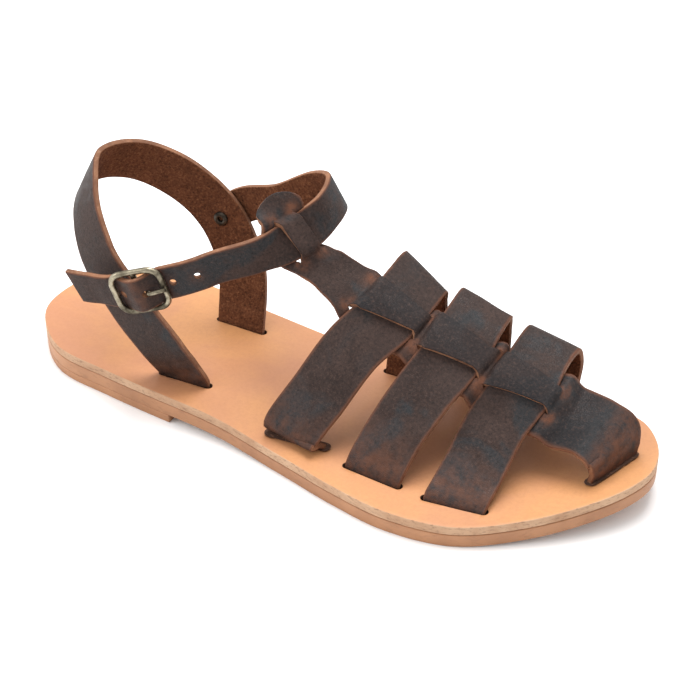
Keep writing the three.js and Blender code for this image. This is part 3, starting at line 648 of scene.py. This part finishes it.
# The tongue, from the tip of its tab to the toe slot
tongue = {
    "samples": 500,
    "bandSpan": 15,
    "stripSpan": 5.5,
    "tabRound": 7.5,
    "tabRun": 22,
    "slitOpening": 8,
    "slitShift": 1.2,
    "bandLift": 2.5,
    "relaxRun": 9,
    "stripDrop": 2.5,
    "slitEase": 1.3,
    "stripEase": 3.4,
    "nearRun": 25,
    "slitGap": 0.14,
    "tabRow": 2,
    "toeRun": 16,
    "slotWidth": 21.2,
    # along, then the lateral and medial reach of the band and of the whole tongue
    "reaches": [
        (8, 4.4, 3.4, 8.6, 6.8),
        (25, 3.2, 3.4, 5.9, 6.4),
        (34, 3.6, 5, 5.7, 8.3),
        (43, 4.5, 7.5, 7.6, 9.8),
        (52, 5.3, 9.2, 8.7, 12.6),
        (72, 1.8, 6.6, 8.9, 11.8),
        (79, 5.7, 10.4, 10, 14.6),
        (97, 3, 6.4, 11.7, 12.4),
        (106, 5, 11.5, 10.5, 15.8),
        (126, 2.6, 6, 10.8, 14.5),
        (143, 6, 7, 11.2, 14),
        (152, 7, 7, 13.2, 13.9),
        (158, 6, 6, 12.5, 12.6),
        (168, 5, 5, 10.6, 10.6),
    ],
    # along, side and high, then the width's direction
    "rows": [
        (0.412, -0.014, 1.43, 0.02, 1, 0),
        (0.435, -0.005, 1.335, 0.02, 1, 0),
        (0.458, 0.005, 1.2, 0.02, 1, 0),
        (0.5, 0.022, 1.01, 0.03, 1, 0.02),
        (0.538, 0.04, 0.92, 0.04, 1, 0.03),
        (0.566, 0.05, 0.85, 0.05, 1, 0.04),
        (0.604, 0.06, 0.79, 0.06, 1, 0.06),
        (0.653, 0.075, 0.665, 0.08, 0.99, 0.09),
        (0.704, 0.09, 0.635, 0.1, 0.98, 0.12),
        (0.756, 0.1, 0.5, 0.13, 0.98, 0.15),
        (0.806, 0.095, 0.5, 0.15, 0.97, 0.17),
        (0.851, 0.097, 0.395, 0.17, 0.96, 0.19),
        (0.915, 0.1, 0.295, 0.2, 0.94, 0.26),
        (0.942, 0.101, 0.2, 0.22, 0.92, 0.32),
        (0.947, 0.099, 0.1, 0.3, 0.93, 0.2),
        (0.945, 0.097, 0, 0.36, 0.93, 0),
    ],
}
tongueMiddles = [instepPoint(row) for row in tongue["rows"]]
tongueWidths = [-width for width in widthsOf(tongue["rows"])]
tonguePath = StrapPath(tongueMiddles + [slotEnd(tongueMiddles[-1])], tongueWidths + tongueWidths[-1:])

crossTables = [
    {
        "name": "crossStrapRear",
        "tongueRow": 6,
        "lateral": [
            (0.53, -0.71, 0, 1, 0.14, -0.05),
            (0.525, -0.785, 0.08, 0.97, -0.06, -0.2),
            (0.55, -0.54, 0.365, 0.96, -0.02, -0.25),
            (0.576, -0.25, 0.637, 0.92, -0.08, -0.36),
        ],
        "medial": [
            (0.608, 0.4, 0.865, 0.88, -0.08, -0.42),
            (0.609, 0.6, 0.885, 0.85, -0.16, -0.46),
            (0.603, 0.65, 0.74, 0.86, -0.18, -0.42),
            (0.599, 0.59, 0.3, 0.96, -0.06, -0.2),
            (0.6, 0.52, 0, 1, 0.05, 0),
        ],
    },
    {
        "name": "crossStrapMiddle",
        "tongueRow": 8,
        "lateral": [
            (0.659, -0.79, 0, 1, -0.05, -0.02),
            (0.661, -0.755, 0.065, 0.99, -0.08, -0.08),
            (0.67, -0.55, 0.248, 0.97, -0.15, -0.12),
            (0.686, -0.265, 0.453, 0.96, -0.15, -0.22),
        ],
        "medial": [
            (0.704, 0.45, 0.735, 0.95, -0.12, -0.2),
            (0.704, 0.64, 0.755, 0.95, -0.16, -0.18),
            (0.701, 0.69, 0.61, 0.96, -0.17, -0.12),
            (0.701, 0.65, 0.25, 0.98, -0.1, -0.05),
            (0.702, 0.6, 0, 1, -0.05, 0),
        ],
    },
    {
        "name": "crossStrapFront",
        "tongueRow": 10,
        "lateral": [
            (0.784, -0.785, 0, 0.98, 0.14, 0.02),
            (0.785, -0.73, 0.045, 0.98, 0.12, 0.02),
            (0.786, -0.47, 0.14, 0.98, 0.02, -0.05),
            (0.79, -0.155, 0.32, 0.98, -0.08, -0.12),
        ],
        "medial": [
            (0.803, 0.45, 0.57, 0.98, -0.15, 0),
            (0.806, 0.7, 0.6, 0.98, -0.2, -0.03),
            (0.808, 0.78, 0.48, 0.97, -0.24, -0.03),
            (0.808, 0.7, 0.2, 0.97, -0.24, 0),
            (0.81, 0.65, 0, 0.97, -0.22, 0),
        ],
    },
]


def plainStrip(path, half, seed, rubAndShade, creases=(), cup=0.2):
    shares = path.shareAt(edgeSteps(path.length, first=False, last=False))
    shareGrid, acrossGrid = np.meshgrid(shares, edgeSteps(2 * half) / (2 * half), indexing="ij")
    offsets = (2 * acrossGrid - 1) * half
    laid, arcs, rubAndShadeValues = layStrip(path, shareGrid, offsets, noLift, seed, rubAndShade, creases, cup)
    return laid, arcs, rubAndShadeValues, acrossGrid, wallAt(half - np.abs(offsets))


def endRub(path, reach=27, amount=0.66):
    def rubAndShade(shares, offsets):
        arc = path.arc(shares)
        return amount * (1 - smooth(np.minimum(arc, path.length - arc), 2, reach))
    return rubAndShade


crossPaths = []
for index, table in enumerate(crossTables):
    tongueRow = table["tongueRow"]
    rows = table["lateral"] + table["medial"]
    middles = [instepPoint(row) for row in rows]
    widths = widthsOf(rows)
    middles.insert(len(table["lateral"]), tongueMiddles[tongueRow])
    widths.insert(len(table["lateral"]), tonguePath.atRow(tongueRow)[1])
    path = slottedPath(middles, widths)
    crossPaths.append(path)
    creases = [
        (7.5, 0.1, -9, 6, 0.25, 1.6),
        (11.5, -0.15, -4, 10, 0.2, 1.4),
        (path.length - 8, 0.1, -8, 8, 0.25, 1.6),
    ]
    strip = plainStrip(path, straps["crossWidth"] / 2, 5.5 + index, endRub(path), creases)
    strapPiece(table["name"], [strip], "upper")
print("laid the cross straps")

heel = {
    "rivetRow": 9,
    "rows": [
        (0.317, -0.71, 0, 1, 0.08, 0.05),
        (0.293, -0.87, 0.21, 0.9, 0.04, 0.38),
        (0.243, -0.92, 0.445, 0.74, 0, 0.67),
        (0.187, -0.83, 0.67, 0.74, -0.1, 0.66),
        (0.14, -0.48, 0.88, 0.66, -0.12, 0.74),
        (0.118, -0.02, 0.97, 0.5, -0.1, 0.86),
        (0.147, 0.46, 0.945, 0.5, -0.02, 0.87),
        (0.206, 0.79, 0.81, 0.62, 0.1, 0.78),
        (0.261, 0.95, 0.59, 0.8, 0.16, 0.56),
        (0.297, 0.9, 0.3, 0.94, 0.16, 0.2),
        (0.311, 0.65, 0, 1, 0.02, -0.03),
    ],
}
heelPath = slottedPath([anklePoint(row) for row in heel["rows"]], widthsOf(heel["rows"]))
rivetPoint, rivetTangent, rivetAcross, rivetOutward = heelPath.atRow(heel["rivetRow"])

ankle = {
    "medial": [
        (0.364, 1.08, 0.778, -0.45, -0.15, 0.88),
        (0.426, 1.1, 0.93, -0.46, -0.16, 0.87),
        (0.466, 0.93, 1, -0.39, -0.19, 0.9),
        (0.479, 0.54, 0.985, -0.32, -0.27, 0.91),
    ],
    "lateral": [
        (0.426, -0.29, 0.83, -0.18, -0.25, 0.95),
        (0.373, -0.62, 0.75, -0.2, -0.27, 0.94),
    ],
    "buckle": (0.284, -1.085, 0.615, -0.23, -0.18, 0.95),
    "tail": [
        (0.206, -1.18, 0.56, -0.22, -0.2, 0.95),
        (0.17, -1.2, 0.552, -0.2, -0.22, 0.95),
    ],
    "lapEnd": 8,
    "lapEase": 1.5,
    "weaveEase": 16,
    "buckleEase": 2,
    "holeDiameter": 2.7,
    "holeSpacing": 9.5,
    "holeRub": 3,
    "barRub": 1.8,
    "tipRub": 4,
    "buckleRow": 11,
}
buckle = {
    "length": 21,
    "width": 18.9,
    "corner": 4.4,
    "wire": 2.25,
    "prongWire": 1.6,
    "prongReach": 3.3,
}
frameRun = buckle["length"] - buckle["wire"]
buckleCentre = anklePoint(ankle["buckle"])
buckleBack = unit(anklePoint(ankle["tail"][0]) - anklePoint(ankle["lateral"][-1]))
buckleOut = unit(np.cross(ankle["buckle"][3:], buckleBack))
buckleUp = np.cross(buckleBack, buckleOut)


def besideBuckle(sign):
    return buckleCentre + buckleBack * sign * (frameRun / 2 + ankle["buckleEase"])


def lapPoint(distance):
    return rivetPoint + rivetOutward * (straps["thickness"] + straps["clearance"]) + rivetAcross * distance


anklePath = StrapPath(
    [lapPoint(-ankle["lapEnd"]), lapPoint(0), lapPoint(straps["heelWidth"] / 2 + ankle["lapEase"])]
    + [anklePoint(row) for row in ankle["medial"]]
    + [tongueMiddles[tongue["tabRow"]]]
    + [anklePoint(row) for row in ankle["lateral"]]
    + [besideBuckle(-1), buckleCentre, besideBuckle(1)]
    + [anklePoint(row) for row in ankle["tail"]],
    [-rivetTangent] * 3 + widthsOf(ankle["medial"]) + [-tonguePath.atRow(tongue["tabRow"])[1]]
    + widthsOf(ankle["lateral"]) + [buckleUp] * 3 + widthsOf(ankle["tail"]))
buckleArc = anklePath.arc(ankle["buckleRow"] / anklePath.count)
weave = straps["thickness"] / 2 + 2 * straps["clearance"] + buckle["wire"] / 2


def ankleLift(shares, offsets):
    away = np.abs(anklePath.arc(shares) - buckleArc)
    end = frameRun / 2
    inside = weave * np.cos(math.pi * away / end)
    return np.where(away < end, inside, -weave * (1 - smooth(away, end, end + ankle["weaveEase"])))


def ankleHalf(shares):
    taper = smooth(shares * anklePath.count, 7, ankle["buckleRow"] - 1)
    return lerp(straps["ankleWidth"], straps["buckleWidth"], taper) / 2


# Flat ends of a round tube, from its first and last rings
def caps(start, last, sides):
    return [tuple(range(start, start + sides))[::-1], tuple(range(last, last + sides))]


def cutterPiece(name, points, faces, kind=1):
    piece = makePiece(name, points, faces, None, strapMaterials + [slotWallShade], [kind] * len(faces))
    weld(piece.data, recalc=True)
    return piece


# Pegs across the ankle strap at distances along it, to cut its holes
def pegs(path, arcs, diameter, lift, sides=24, reach=5):
    points, faces = [], []
    for arc in arcs:
        share = float(path.shareAt(arc))
        point, tangent, across, outward = (value[0] for value in path.at(share))
        point = point + outward * float(lift(share, 0.0))
        start = len(points)
        for level in (-reach, reach):
            for k in range(sides):
                turn = 2 * math.pi * k / sides
                around = tangent * math.cos(turn) + across * math.sin(turn)
                points.append(point + outward * level + around * diameter / 2)
        faces += ringFaces(2, sides, start) + caps(start, start + sides, sides)
    return cutterPiece("strapHoles", points, faces)


holeArcs = [buckleArc - buckle["prongReach"] - step * ankle["holeSpacing"] for step in (-1, 0, 1, 2)]


def ankleRub(shares, offsets):
    arc = anklePath.arc(shares)
    around = [((arc - hole) ** 2 + offsets**2) / ankle["holeRub"] ** 2 for hole in holeArcs]
    places = (buckleArc - frameRun / 2, buckleArc, buckleArc + frameRun / 2)
    away = [((arc - place) / ankle["barRub"]) ** 2 for place in places]
    holes, bars = np.exp(-np.min(around, axis=0)), np.exp(-np.min(away, axis=0))
    tip = smooth(arc, anklePath.length - ankle["tipRub"], anklePath.length)
    return np.clip(0.45 * holes + 0.5 * bars + 0.6 * tip, 0, 1)


def ankleStrip():
    places = edgeSteps(anklePath.length)
    wide = straps["ankleWidth"]
    shareGrid, acrossGrid = np.meshgrid(anklePath.shareAt(places), edgeSteps(wide) / wide, indexing="ij")
    toEnd = np.minimum(places, anklePath.length - places)[:, None]
    tailShare = (ankle["buckleRow"] + 1) / anklePath.count
    cut = straps["tipCut"] / anklePath.length
    shareGrid = shareGrid - (1 - acrossGrid) * cut * smooth(shareGrid, tailShare, 1)
    offsets = (2 * acrossGrid - 1) * ankleHalf(shareGrid)
    creases = [
        (buckleArc + frameRun / 2 + 5, 0.1, -5, 5, 0.2, 1.4),
        (buckleArc - frameRun / 2 - 5, -0.1, -5, 5, 0.2, 1.4),
    ]
    laid, arcs, rubAndShadeValues = layStrip(anklePath, shareGrid, offsets, ankleLift, 9.5, ankleRub, creases, 0.1)
    wall = wallAt(np.minimum(toEnd, ankleHalf(shareGrid) - np.abs(offsets)))
    return laid, arcs, rubAndShadeValues, acrossGrid, wall


# How a strap lies under the tongue where they cross, in the tongue's axes there: for its two edges
# and its middle, the distance across the tongue, the place along it and the height
def crossingOf(path, row, width):
    point, tangent, across, outward = tonguePath.atRow(row)
    shares = path.shareAt(np.linspace(0, path.length, tongue["samples"]))
    middles, strapAcross = path.at(shares)[::2]
    near = np.linalg.norm(middles - point, axis=1) < tongue["nearRun"]
    turned = strapAcross[near] * np.sign(strapAcross[near] @ tangent)[:, None]
    lines = []
    for side in (-0.5, 0, 0.5):
        away = middles[near] + turned * side * width - point
        away = away[np.argsort(away @ across)]
        lines.append((away @ across, away @ tangent, away @ outward))
    arc = float(tonguePath.arc(row / tonguePath.count))
    arcs = np.linspace(max(0, arc - tongue["nearRun"]), arc + tongue["nearRun"], 49)
    run = tonguePath.at(tonguePath.shareAt(arcs))[0] - point
    return {
        "arc": arc,
        "arcs": arcs,
        "run": run @ tangent,
        "rise": run @ outward,
        "width": width,
        "lines": lines,
    }


crossings = [crossingOf(anklePath, tongue["tabRow"], straps["ankleWidth"])]
for path, table in zip(crossPaths, crossTables):
    crossings.append(crossingOf(path, table["tongueRow"], straps["crossWidth"]))
toeArc = tonguePath.length - tongue["toeRun"]


# Line 0 is the strap's rear edge, 1 its middle and 2 its front edge
def lineAt(crossing, line, side):
    across, along, height = crossing["lines"][line]
    return np.interp(side, across, along), np.interp(side, across, height)


# Distance along the tongue to the nearer edge of a strap, negative over the strap
def toStrap(crossing, arc, side):
    run = np.interp(arc, crossing["arcs"], crossing["run"])
    return np.maximum(lineAt(crossing, 0, side)[0] - run, run - lineAt(crossing, 2, side)[0])


def overStrap(arc, side, ease):
    away = [toStrap(crossing, arc, side) for crossing in crossings]
    return np.max([1 - smooth(gap, -tongue["slitEase"], ease) for gap in away], axis=0)


# Height of a strap's plane over its own middle line, less the rise of the tongue's path there
def strapLevel(crossing, arc, side):
    run = np.interp(arc, crossing["arcs"], crossing["run"])
    rear, rearHeight = lineAt(crossing, 0, side)
    front, frontHeight = lineAt(crossing, 2, side)
    height = lerp(rearHeight, frontHeight, (run - rear) / (front - rear))
    level = np.interp(arc, crossing["arcs"], crossing["rise"])
    return height - lineAt(crossing, 1, side)[1] - level


# The tongue's own surface: between the straps it eases from the profile of one to the next, over
# a strap it lies in that strap's plane, and it goes flat towards the toe slot
def drape(arc, side):
    ends = [(crossing["arc"] - crossing["width"] / 2, crossing["arc"] + crossing["width"] / 2)
            for crossing in crossings]
    total = lineAt(crossings[0], 1, side)[1]
    for index in range(1, len(crossings)):
        share = smooth(arc, ends[index - 1][1], ends[index][0])
        total = lerp(total, lineAt(crossings[index], 1, side)[1], share)
    total = total * (1 - smooth(arc, ends[-1][1], toeArc))
    for index, crossing in enumerate(crossings):
        before = ends[index][0] - ends[index - 1][1] if index else tongue["relaxRun"]
        after = ends[index + 1][0] - ends[index][1] if index + 1 < len(crossings) else tongue["relaxRun"]
        reach = np.minimum(tongue["relaxRun"], np.where(arc < crossing["arc"], before, after))
        fade = 1 - smooth(toStrap(crossing, arc, side), 0, reach)
        total = total + fade * strapLevel(crossing, arc, side)
    return total


# Distance across the tongue for a place from -2 to 2: 1 is the band's edge and 2 the tongue's
def acrossTongue(arc, place):
    knots, *reaches = zip(*tongue["reaches"])
    lateralBand, medialBand, lateralEdge, medialEdge = (np.interp(arc, knots, reach) for reach in reaches)
    band = np.where(place > 0, lateralBand, medialBand)
    edge = np.where(place > 0, lateralEdge, medialEdge)
    size = np.abs(place)
    reach = np.where(size < 1, size * band, band + (size - 1) * (edge - band))
    return np.sign(place) * reach


# Where the tongue is rubbed reddish, beyond each slit's ends and at the toe fold, and where its colour is
# painted darker: painted shade on its band over the cross straps, and a darker tone on its toe
tongueWearAndShade = {
    "slitSpan": 6,
    "slitReach": 3.2,
    "endRun": 2.4,
    "endPlace": 2.2,
    "endAmount": 1.3,
    "foldAmount": 0.8,
    "foldRun": (26, 10),
    # strength of the painted shade on the band and of the darker toe, its ease at each strap's edge, and
    # where the band's shade starts
    "bandShadeToeDarkAmount": 0.62,
    "bandShadeEase": 3,
    "bandShadeFrom": 40,
    "toeRun": (124, 132),
}


def tongueRubAndShade(arc, place):
    toSlit = np.abs(np.abs(place) - 1) * tongueWearAndShade["slitSpan"]
    side = acrossTongue(arc, place)
    away = [((toStrap(crossing, arc, side) - tongueWearAndShade["endPlace"]) / tongueWearAndShade["endRun"]) ** 2
            for crossing in crossings]
    ends = tongueWearAndShade["endAmount"] * np.exp(-np.min(away, axis=0) - (toSlit / tongueWearAndShade["slitReach"]) ** 2)
    start, end = (tonguePath.length - run for run in tongueWearAndShade["foldRun"])
    fold = smooth(arc, start, end)
    worn = np.clip(ends + tongueWearAndShade["foldAmount"] * fold, 0, 1)
    # Painted shade on the band over the cross straps and a darker toe, subtracted where the tongue is not
    # rubbed
    band = (np.abs(place) <= 1) * (arc > tongueWearAndShade["bandShadeFrom"])
    bandShadeToeDark = overStrap(arc, side, tongueWearAndShade["bandShadeEase"]) * band
    bandShadeToeDark = np.maximum(bandShadeToeDark, smooth(arc, *tongueWearAndShade["toeRun"]) * (1 - fold))
    return worn - tongueWearAndShade["bandShadeToeDarkAmount"] * bandShadeToeDark * (1 - worn)


# side -1 and 1 are the strips that pass under the straps, and 0 is the band that passes over them
def tongueStrip(side):
    rows = edgeSteps(tonguePath.length, last=False)
    size = tongue["stripSpan"] if side else tongue["bandSpan"]
    columns = edgeSteps(size) / size
    places = 2 * columns - 1 if side == 0 else side * (1 + columns)
    grid, place = np.meshgrid(rows, places, indexing="ij")
    rounded = 1 - np.sqrt(1 - np.minimum(np.abs(place) / 2, 1) ** 2)
    arc = grid + tongue["tabRound"] * rounded * np.maximum(0, 1 - grid / tongue["tabRun"])
    across = acrossTongue(arc, place)
    over = overStrap(arc, across, tongue["slitEase"])
    inSlit = np.minimum(1, tongue["slitOpening"] * over)
    if side:
        toSlit, toEdge = (np.abs(place) - 1) * size, (2 - np.abs(place)) * size
    else:
        toSlit, toEdge = (1 - np.abs(place)) * size / 2, grid
    fromSlit = side if side else -np.sign(place)
    across = across + fromSlit * tongue["slitGap"] * inSlit * (1 - smooth(toSlit, 0, tongue["slitShift"]))
    height = drape(arc, across)
    if side:
        ease = tongue["slitEase"] + tongue["stripEase"] * np.maximum(0, np.abs(place) - 1)
        height = height - tongue["stripDrop"] * overStrap(arc, across, ease)
    else:
        height = height + tongue["bandLift"] * over
    wall = np.minimum(1 - inSlit * (1 - wallAt(toSlit)), wallAt(np.minimum(toEdge, grid)))
    creases = [
        (tonguePath.length - 9, 0.15, -11, 12, 0.5, 1.8),
        (tonguePath.length - 14, -0.1, -12, 6, 0.3, 1.6),
        (tonguePath.length - 22, 0.1, -2, 14, 0.2, 2.2),
    ]

    def lift(shares, offsets):
        return height.ravel()

    def rubAndShade(shares, offsets):
        return tongueRubAndShade(arc, place).ravel()

    laid, arcs, rubAndShadeValues = layStrip(tonguePath, tonguePath.shareAt(arc), across, lift, 2.5, rubAndShade, creases)
    flip = slice(None, None, -1) if side < 0 else slice(None)
    return [part[:, flip] for part in (laid, arcs, rubAndShadeValues, place / 4 + 0.5, wall)]


strapPiece("tongue", [tongueStrip(side) for side in (-1, 0, 1)], "upper")
print("cut and laid the tongue")

ankleHoles = pegs(anklePath, holeArcs, ankle["holeDiameter"], ankleLift)
strapPiece("ankleStrap", [ankleStrip()], "upper", ankleHoles)
heelCreases = [
    (6, 0.1, -8, 8, 0.3, 1.8),
    (12, -0.1, -2, 10, 0.2, 1.8),
    (heelPath.length - 7, 0.1, -9, 9, 0.3, 1.8),
]
heelRub = endRub(heelPath, 18, 0.6)
heelStrip = plainStrip(heelPath, straps["heelWidth"] / 2, 12.5, heelRub, heelCreases, 0.25)
strapPiece("heelStrap", [heelStrip], "heel_strap")
print("laid the heel and ankle straps")


# Slots in the insole for the strap ends, with eased round ends. A level is a height from the
# insole's top, and how much wider the slot is there
slotLevels = [(-7, 0), (-0.3, 0), (-0.1, 0.04), (0, 0.14), (0.6, 0.8)]


def slotCutters(sides=40):
    ends = [(path, row, straps["crossWidth"]) for path in crossPaths for row in (0, path.count)]
    ends += [(heelPath, row, straps["heelWidth"]) for row in (0, heelPath.count)]
    ends += [(tonguePath, tonguePath.count, tongue["slotWidth"])]
    points, faces = [], []
    for path, row, width in ends:
        end = path.atRow(row)
        centre, direction = end[0][:2], unit(end[2][:2])
        radius = straps["thickness"] / 2 + straps["slotClearance"]
        half = width / 2 + straps["slotLonger"] - radius
        normal = np.array([-direction[1], direction[0]])
        start = len(points)
        for level, wider in slotLevels:
            for k in range(sides):
                turn = 2 * math.pi * (k + 0.5) / sides
                shift = half if math.cos(turn) > 0 else -half
                spot = centre + direction * (shift + (radius + wider) * math.cos(turn))
                spot = spot + normal * (radius + wider) * math.sin(turn)
                points.append((*spot, insoleTop(spot[0]) + level))
        faces += ringFaces(len(slotLevels), sides, start)
        faces += caps(start, start + (len(slotLevels) - 1) * sides, sides)
    # Kind 3 gives the cut walls the painted shade of the slots
    return cutterPiece("slotCutters", points, faces, 3)


cutAway(insole, slotCutters(), 50)
print("cut the slots")


# Hardware, in the buckle's own axes: x towards the tongue, y up across the strap, z outward
def onBuckle(points):
    points = np.asarray(points, float)
    return buckleCentre - buckleBack * points[:, :1] + buckleUp * points[:, 1:2] + buckleOut * points[:, 2:]


def tube(points, radii, sides=16, closed=False, up=(0, 0, 1)):
    points = np.asarray(points, float)
    radii = np.broadcast_to(radii, len(points))
    if closed:
        tangent = unit(np.roll(points, -1, axis=0) - np.roll(points, 1, axis=0))
    else:
        tangent = unit(np.gradient(points, axis=0))
    side = unit(np.cross(tangent, up))
    rise = np.cross(side, tangent)
    turns = 2 * math.pi * np.arange(sides) / sides
    around = [side * math.cos(turn) + rise * math.sin(turn) for turn in turns]
    grid = np.stack([points + way * radii[:, None] for way in around], axis=1)
    count = len(points)
    faces = gridFaces(count, sides, closedRow=True, closedColumn=closed)
    if not closed:
        faces += caps(0, (count - 1) * sides, sides)
    return grid.reshape(-1, 3), faces


def roundRectangle(halfRun, halfRise, corner, perCorner=10):
    points = []
    for cx, cy, quarter in ((1, 1, 0), (-1, 1, 1), (-1, -1, 2), (1, -1, 3)):
        for k in range(perCorner + 1):
            turn = (quarter + k / perCorner) * math.pi / 2
            points.append((cx * (halfRun - corner) + corner * math.cos(turn),
                           cy * (halfRise - corner) + corner * math.sin(turn)))
    return resampled(np.array(points), 120)


def metalPiece(name, points, faces, node, material, distance=0.001):
    piece = makePiece(name, points, faces, node, [material])
    weld(piece.data, distance, recalc=True)


halfRise = (buckle["width"] - buckle["wire"]) / 2
ring = roundRectangle(frameRun / 2, halfRise, buckle["corner"])
ringPoints, framePieces = tube(np.column_stack([ring, 0 * ring[:, 0]]), buckle["wire"] / 2, closed=True)
barPlaces = np.linspace(-halfRise, halfRise, 24)
barPoints, barFaces = tube(np.column_stack([0 * barPlaces, barPlaces, 0 * barPlaces]), buckle["wire"] / 2)
framePieces += [tuple(corner + len(ringPoints) for corner in face) for face in barFaces]
metalPiece("buckleFrame", onBuckle(np.vstack([ringPoints, barPoints])), framePieces,
           "buckle_frame", agedBrass)

prongRoot = buckle["wire"] / 2 + straps["clearance"] + buckle["prongWire"] / 2
prongRows = [
    (prongRoot, 0, -0.4 * buckle["prongWire"]),
    (buckle["prongReach"] - 0.2, 0, 0.4 * straps["thickness"]),
    (buckle["prongReach"] + 0.9, 0, 1.25 * straps["thickness"]),
    (frameRun / 2 - 2.2, 0, 1.2 * straps["thickness"]),
    (frameRun / 2, 0, prongRoot),
    (frameRun / 2 + 1.2, 0, prongRoot),
]
prongShares = np.linspace(0, 1, 60)
prongRadii = buckle["prongWire"] / 2 * np.sqrt(1 - smooth(prongShares, 0.93, 1.0) * 0.75)
prongPoints, prongFaces = tube(splineAt(prongRows, prongShares), prongRadii, up=(0, 1, 0))
metalPiece("buckleProng", onBuckle(prongPoints), prongFaces, "buckle_prong", agedBrass)

# The rivet's profile is radius and height, over the heel strap's middle
rivetSides = 48
rivetReach = straps["thickness"] * 1.5 + 2 * straps["clearance"]
rivetInner = -(straps["thickness"] / 2 + straps["clearance"])
rivetProfile = [
    (0.01, rivetInner + 0.4), (0.85, rivetInner + 0.4), (0.98, rivetInner), (1.05, rivetInner - 0.6),
    (1.3, rivetInner - 0.86), (1.8, rivetInner - 0.9), (2.4, rivetInner - 0.75), (2.85, rivetInner - 0.4),
    (3, rivetInner - 0.1), (2.9, rivetInner + 0.05), (1.5, rivetInner + 0.1), (1.5, rivetReach - 0.05),
    (2.9, rivetReach - 0.05), (3, rivetReach + 0.15), (2.7, rivetReach + 0.5), (2, rivetReach + 0.8),
    (1, rivetReach + 0.92), (0.01, rivetReach + 0.95),
]
rivetPoints = []
for radius, height in rivetProfile:
    for k in range(rivetSides):
        turn = 2 * math.pi * k / rivetSides
        around = rivetTangent * math.cos(turn) + rivetAcross * math.sin(turn)
        rivetPoints.append(rivetPoint + rivetOutward * height + around * radius)
metalPiece("rivet", rivetPoints, ringFaces(len(rivetProfile), rivetSides),
           "rivet", darkMetal, 0.03)
print("set the buckle and rivet")

# Floor, lights and camera
studio = {
    "floorSize": 3000,
    "world": 1.0,
    "turn": 30.164,
    "elevation": 34.902,
    "distance": 597.517,
    "aim": (116.634, 38.195, 0),
    "roll": -0.261,
    "lens": 76.398,
}
half = studio["floorSize"]
floorMaterial, tree, shader = newMaterial("paleFloor", roughness=0.9, **{"Specular IOR Level": 0.1})
floorTone = ramp(tree, noiseAt(tree, 3.0, 2.0), 0.3, 0.7)
tree.links.new(mixColour(tree, floorTone, (0.9, 0.9, 0.9, 1), (0.92, 0.92, 0.92, 1)), shader["Base Color"])
floor = makePiece("floor", [(-half, -half, 0), (half, -half, 0), (half, half, 0), (-half, half, 0)],
                  [(0, 1, 2, 3)], None, [floorMaterial])

world = bpy.data.worlds.new("studio")
bpy.context.scene.world = world
world.use_nodes = True
background = world.node_tree.nodes["Background"]
background.inputs["Color"].default_value = (1, 1, 1, 1)
background.inputs["Strength"].default_value = studio["world"]


def areaLight(name, place, aim, size, power):
    light = bpy.data.lights.new(name, "AREA")
    light.shape = "DISK"
    light.size = size / 1000
    light.energy = power
    lamp = bpy.data.objects.new(name, light)
    bpy.context.scene.collection.objects.link(lamp)
    start, end = Vector(toFrame([place])[0]), Vector(toFrame([aim])[0])
    lamp.location = start
    lamp.rotation_euler = (end - start).to_track_quat("-Z", "Y").to_euler()


areaLight("overhead", (60, 250, 900), (127, 0, 0), 700, 10)
areaLight("sideFill", (-500, -500, 500), (127, 0, 30), 600, 3)

turn, elevation, roll = (math.radians(studio[key]) for key in ("turn", "elevation", "roll"))
level = math.cos(elevation)
back = np.array([math.sin(turn) * level, -math.cos(turn) * level, math.sin(elevation)])
right = np.array([math.cos(turn), math.sin(turn), 0])
up = np.cross(back, right)
right, up = right * math.cos(roll) + up * math.sin(roll), up * math.cos(roll) - right * math.sin(roll)
eye = toFrame([np.array(studio["aim"]) + back * studio["distance"]])[0]
cameraData = bpy.data.cameras.new("camera")
cameraData.lens = studio["lens"]
cameraData.sensor_width = 36
cameraData.clip_start = 0.01
camera = bpy.data.objects.new("camera", cameraData)
bpy.context.scene.collection.objects.link(camera)
axes = Matrix(np.column_stack([right, up, back]).tolist()).to_4x4()
camera.matrix_world = Matrix.Translation(Vector(eye)) @ axes
bpy.context.scene.camera = camera
bpy.context.scene.view_settings.view_transform = "Standard"
print("set the studio and camera")
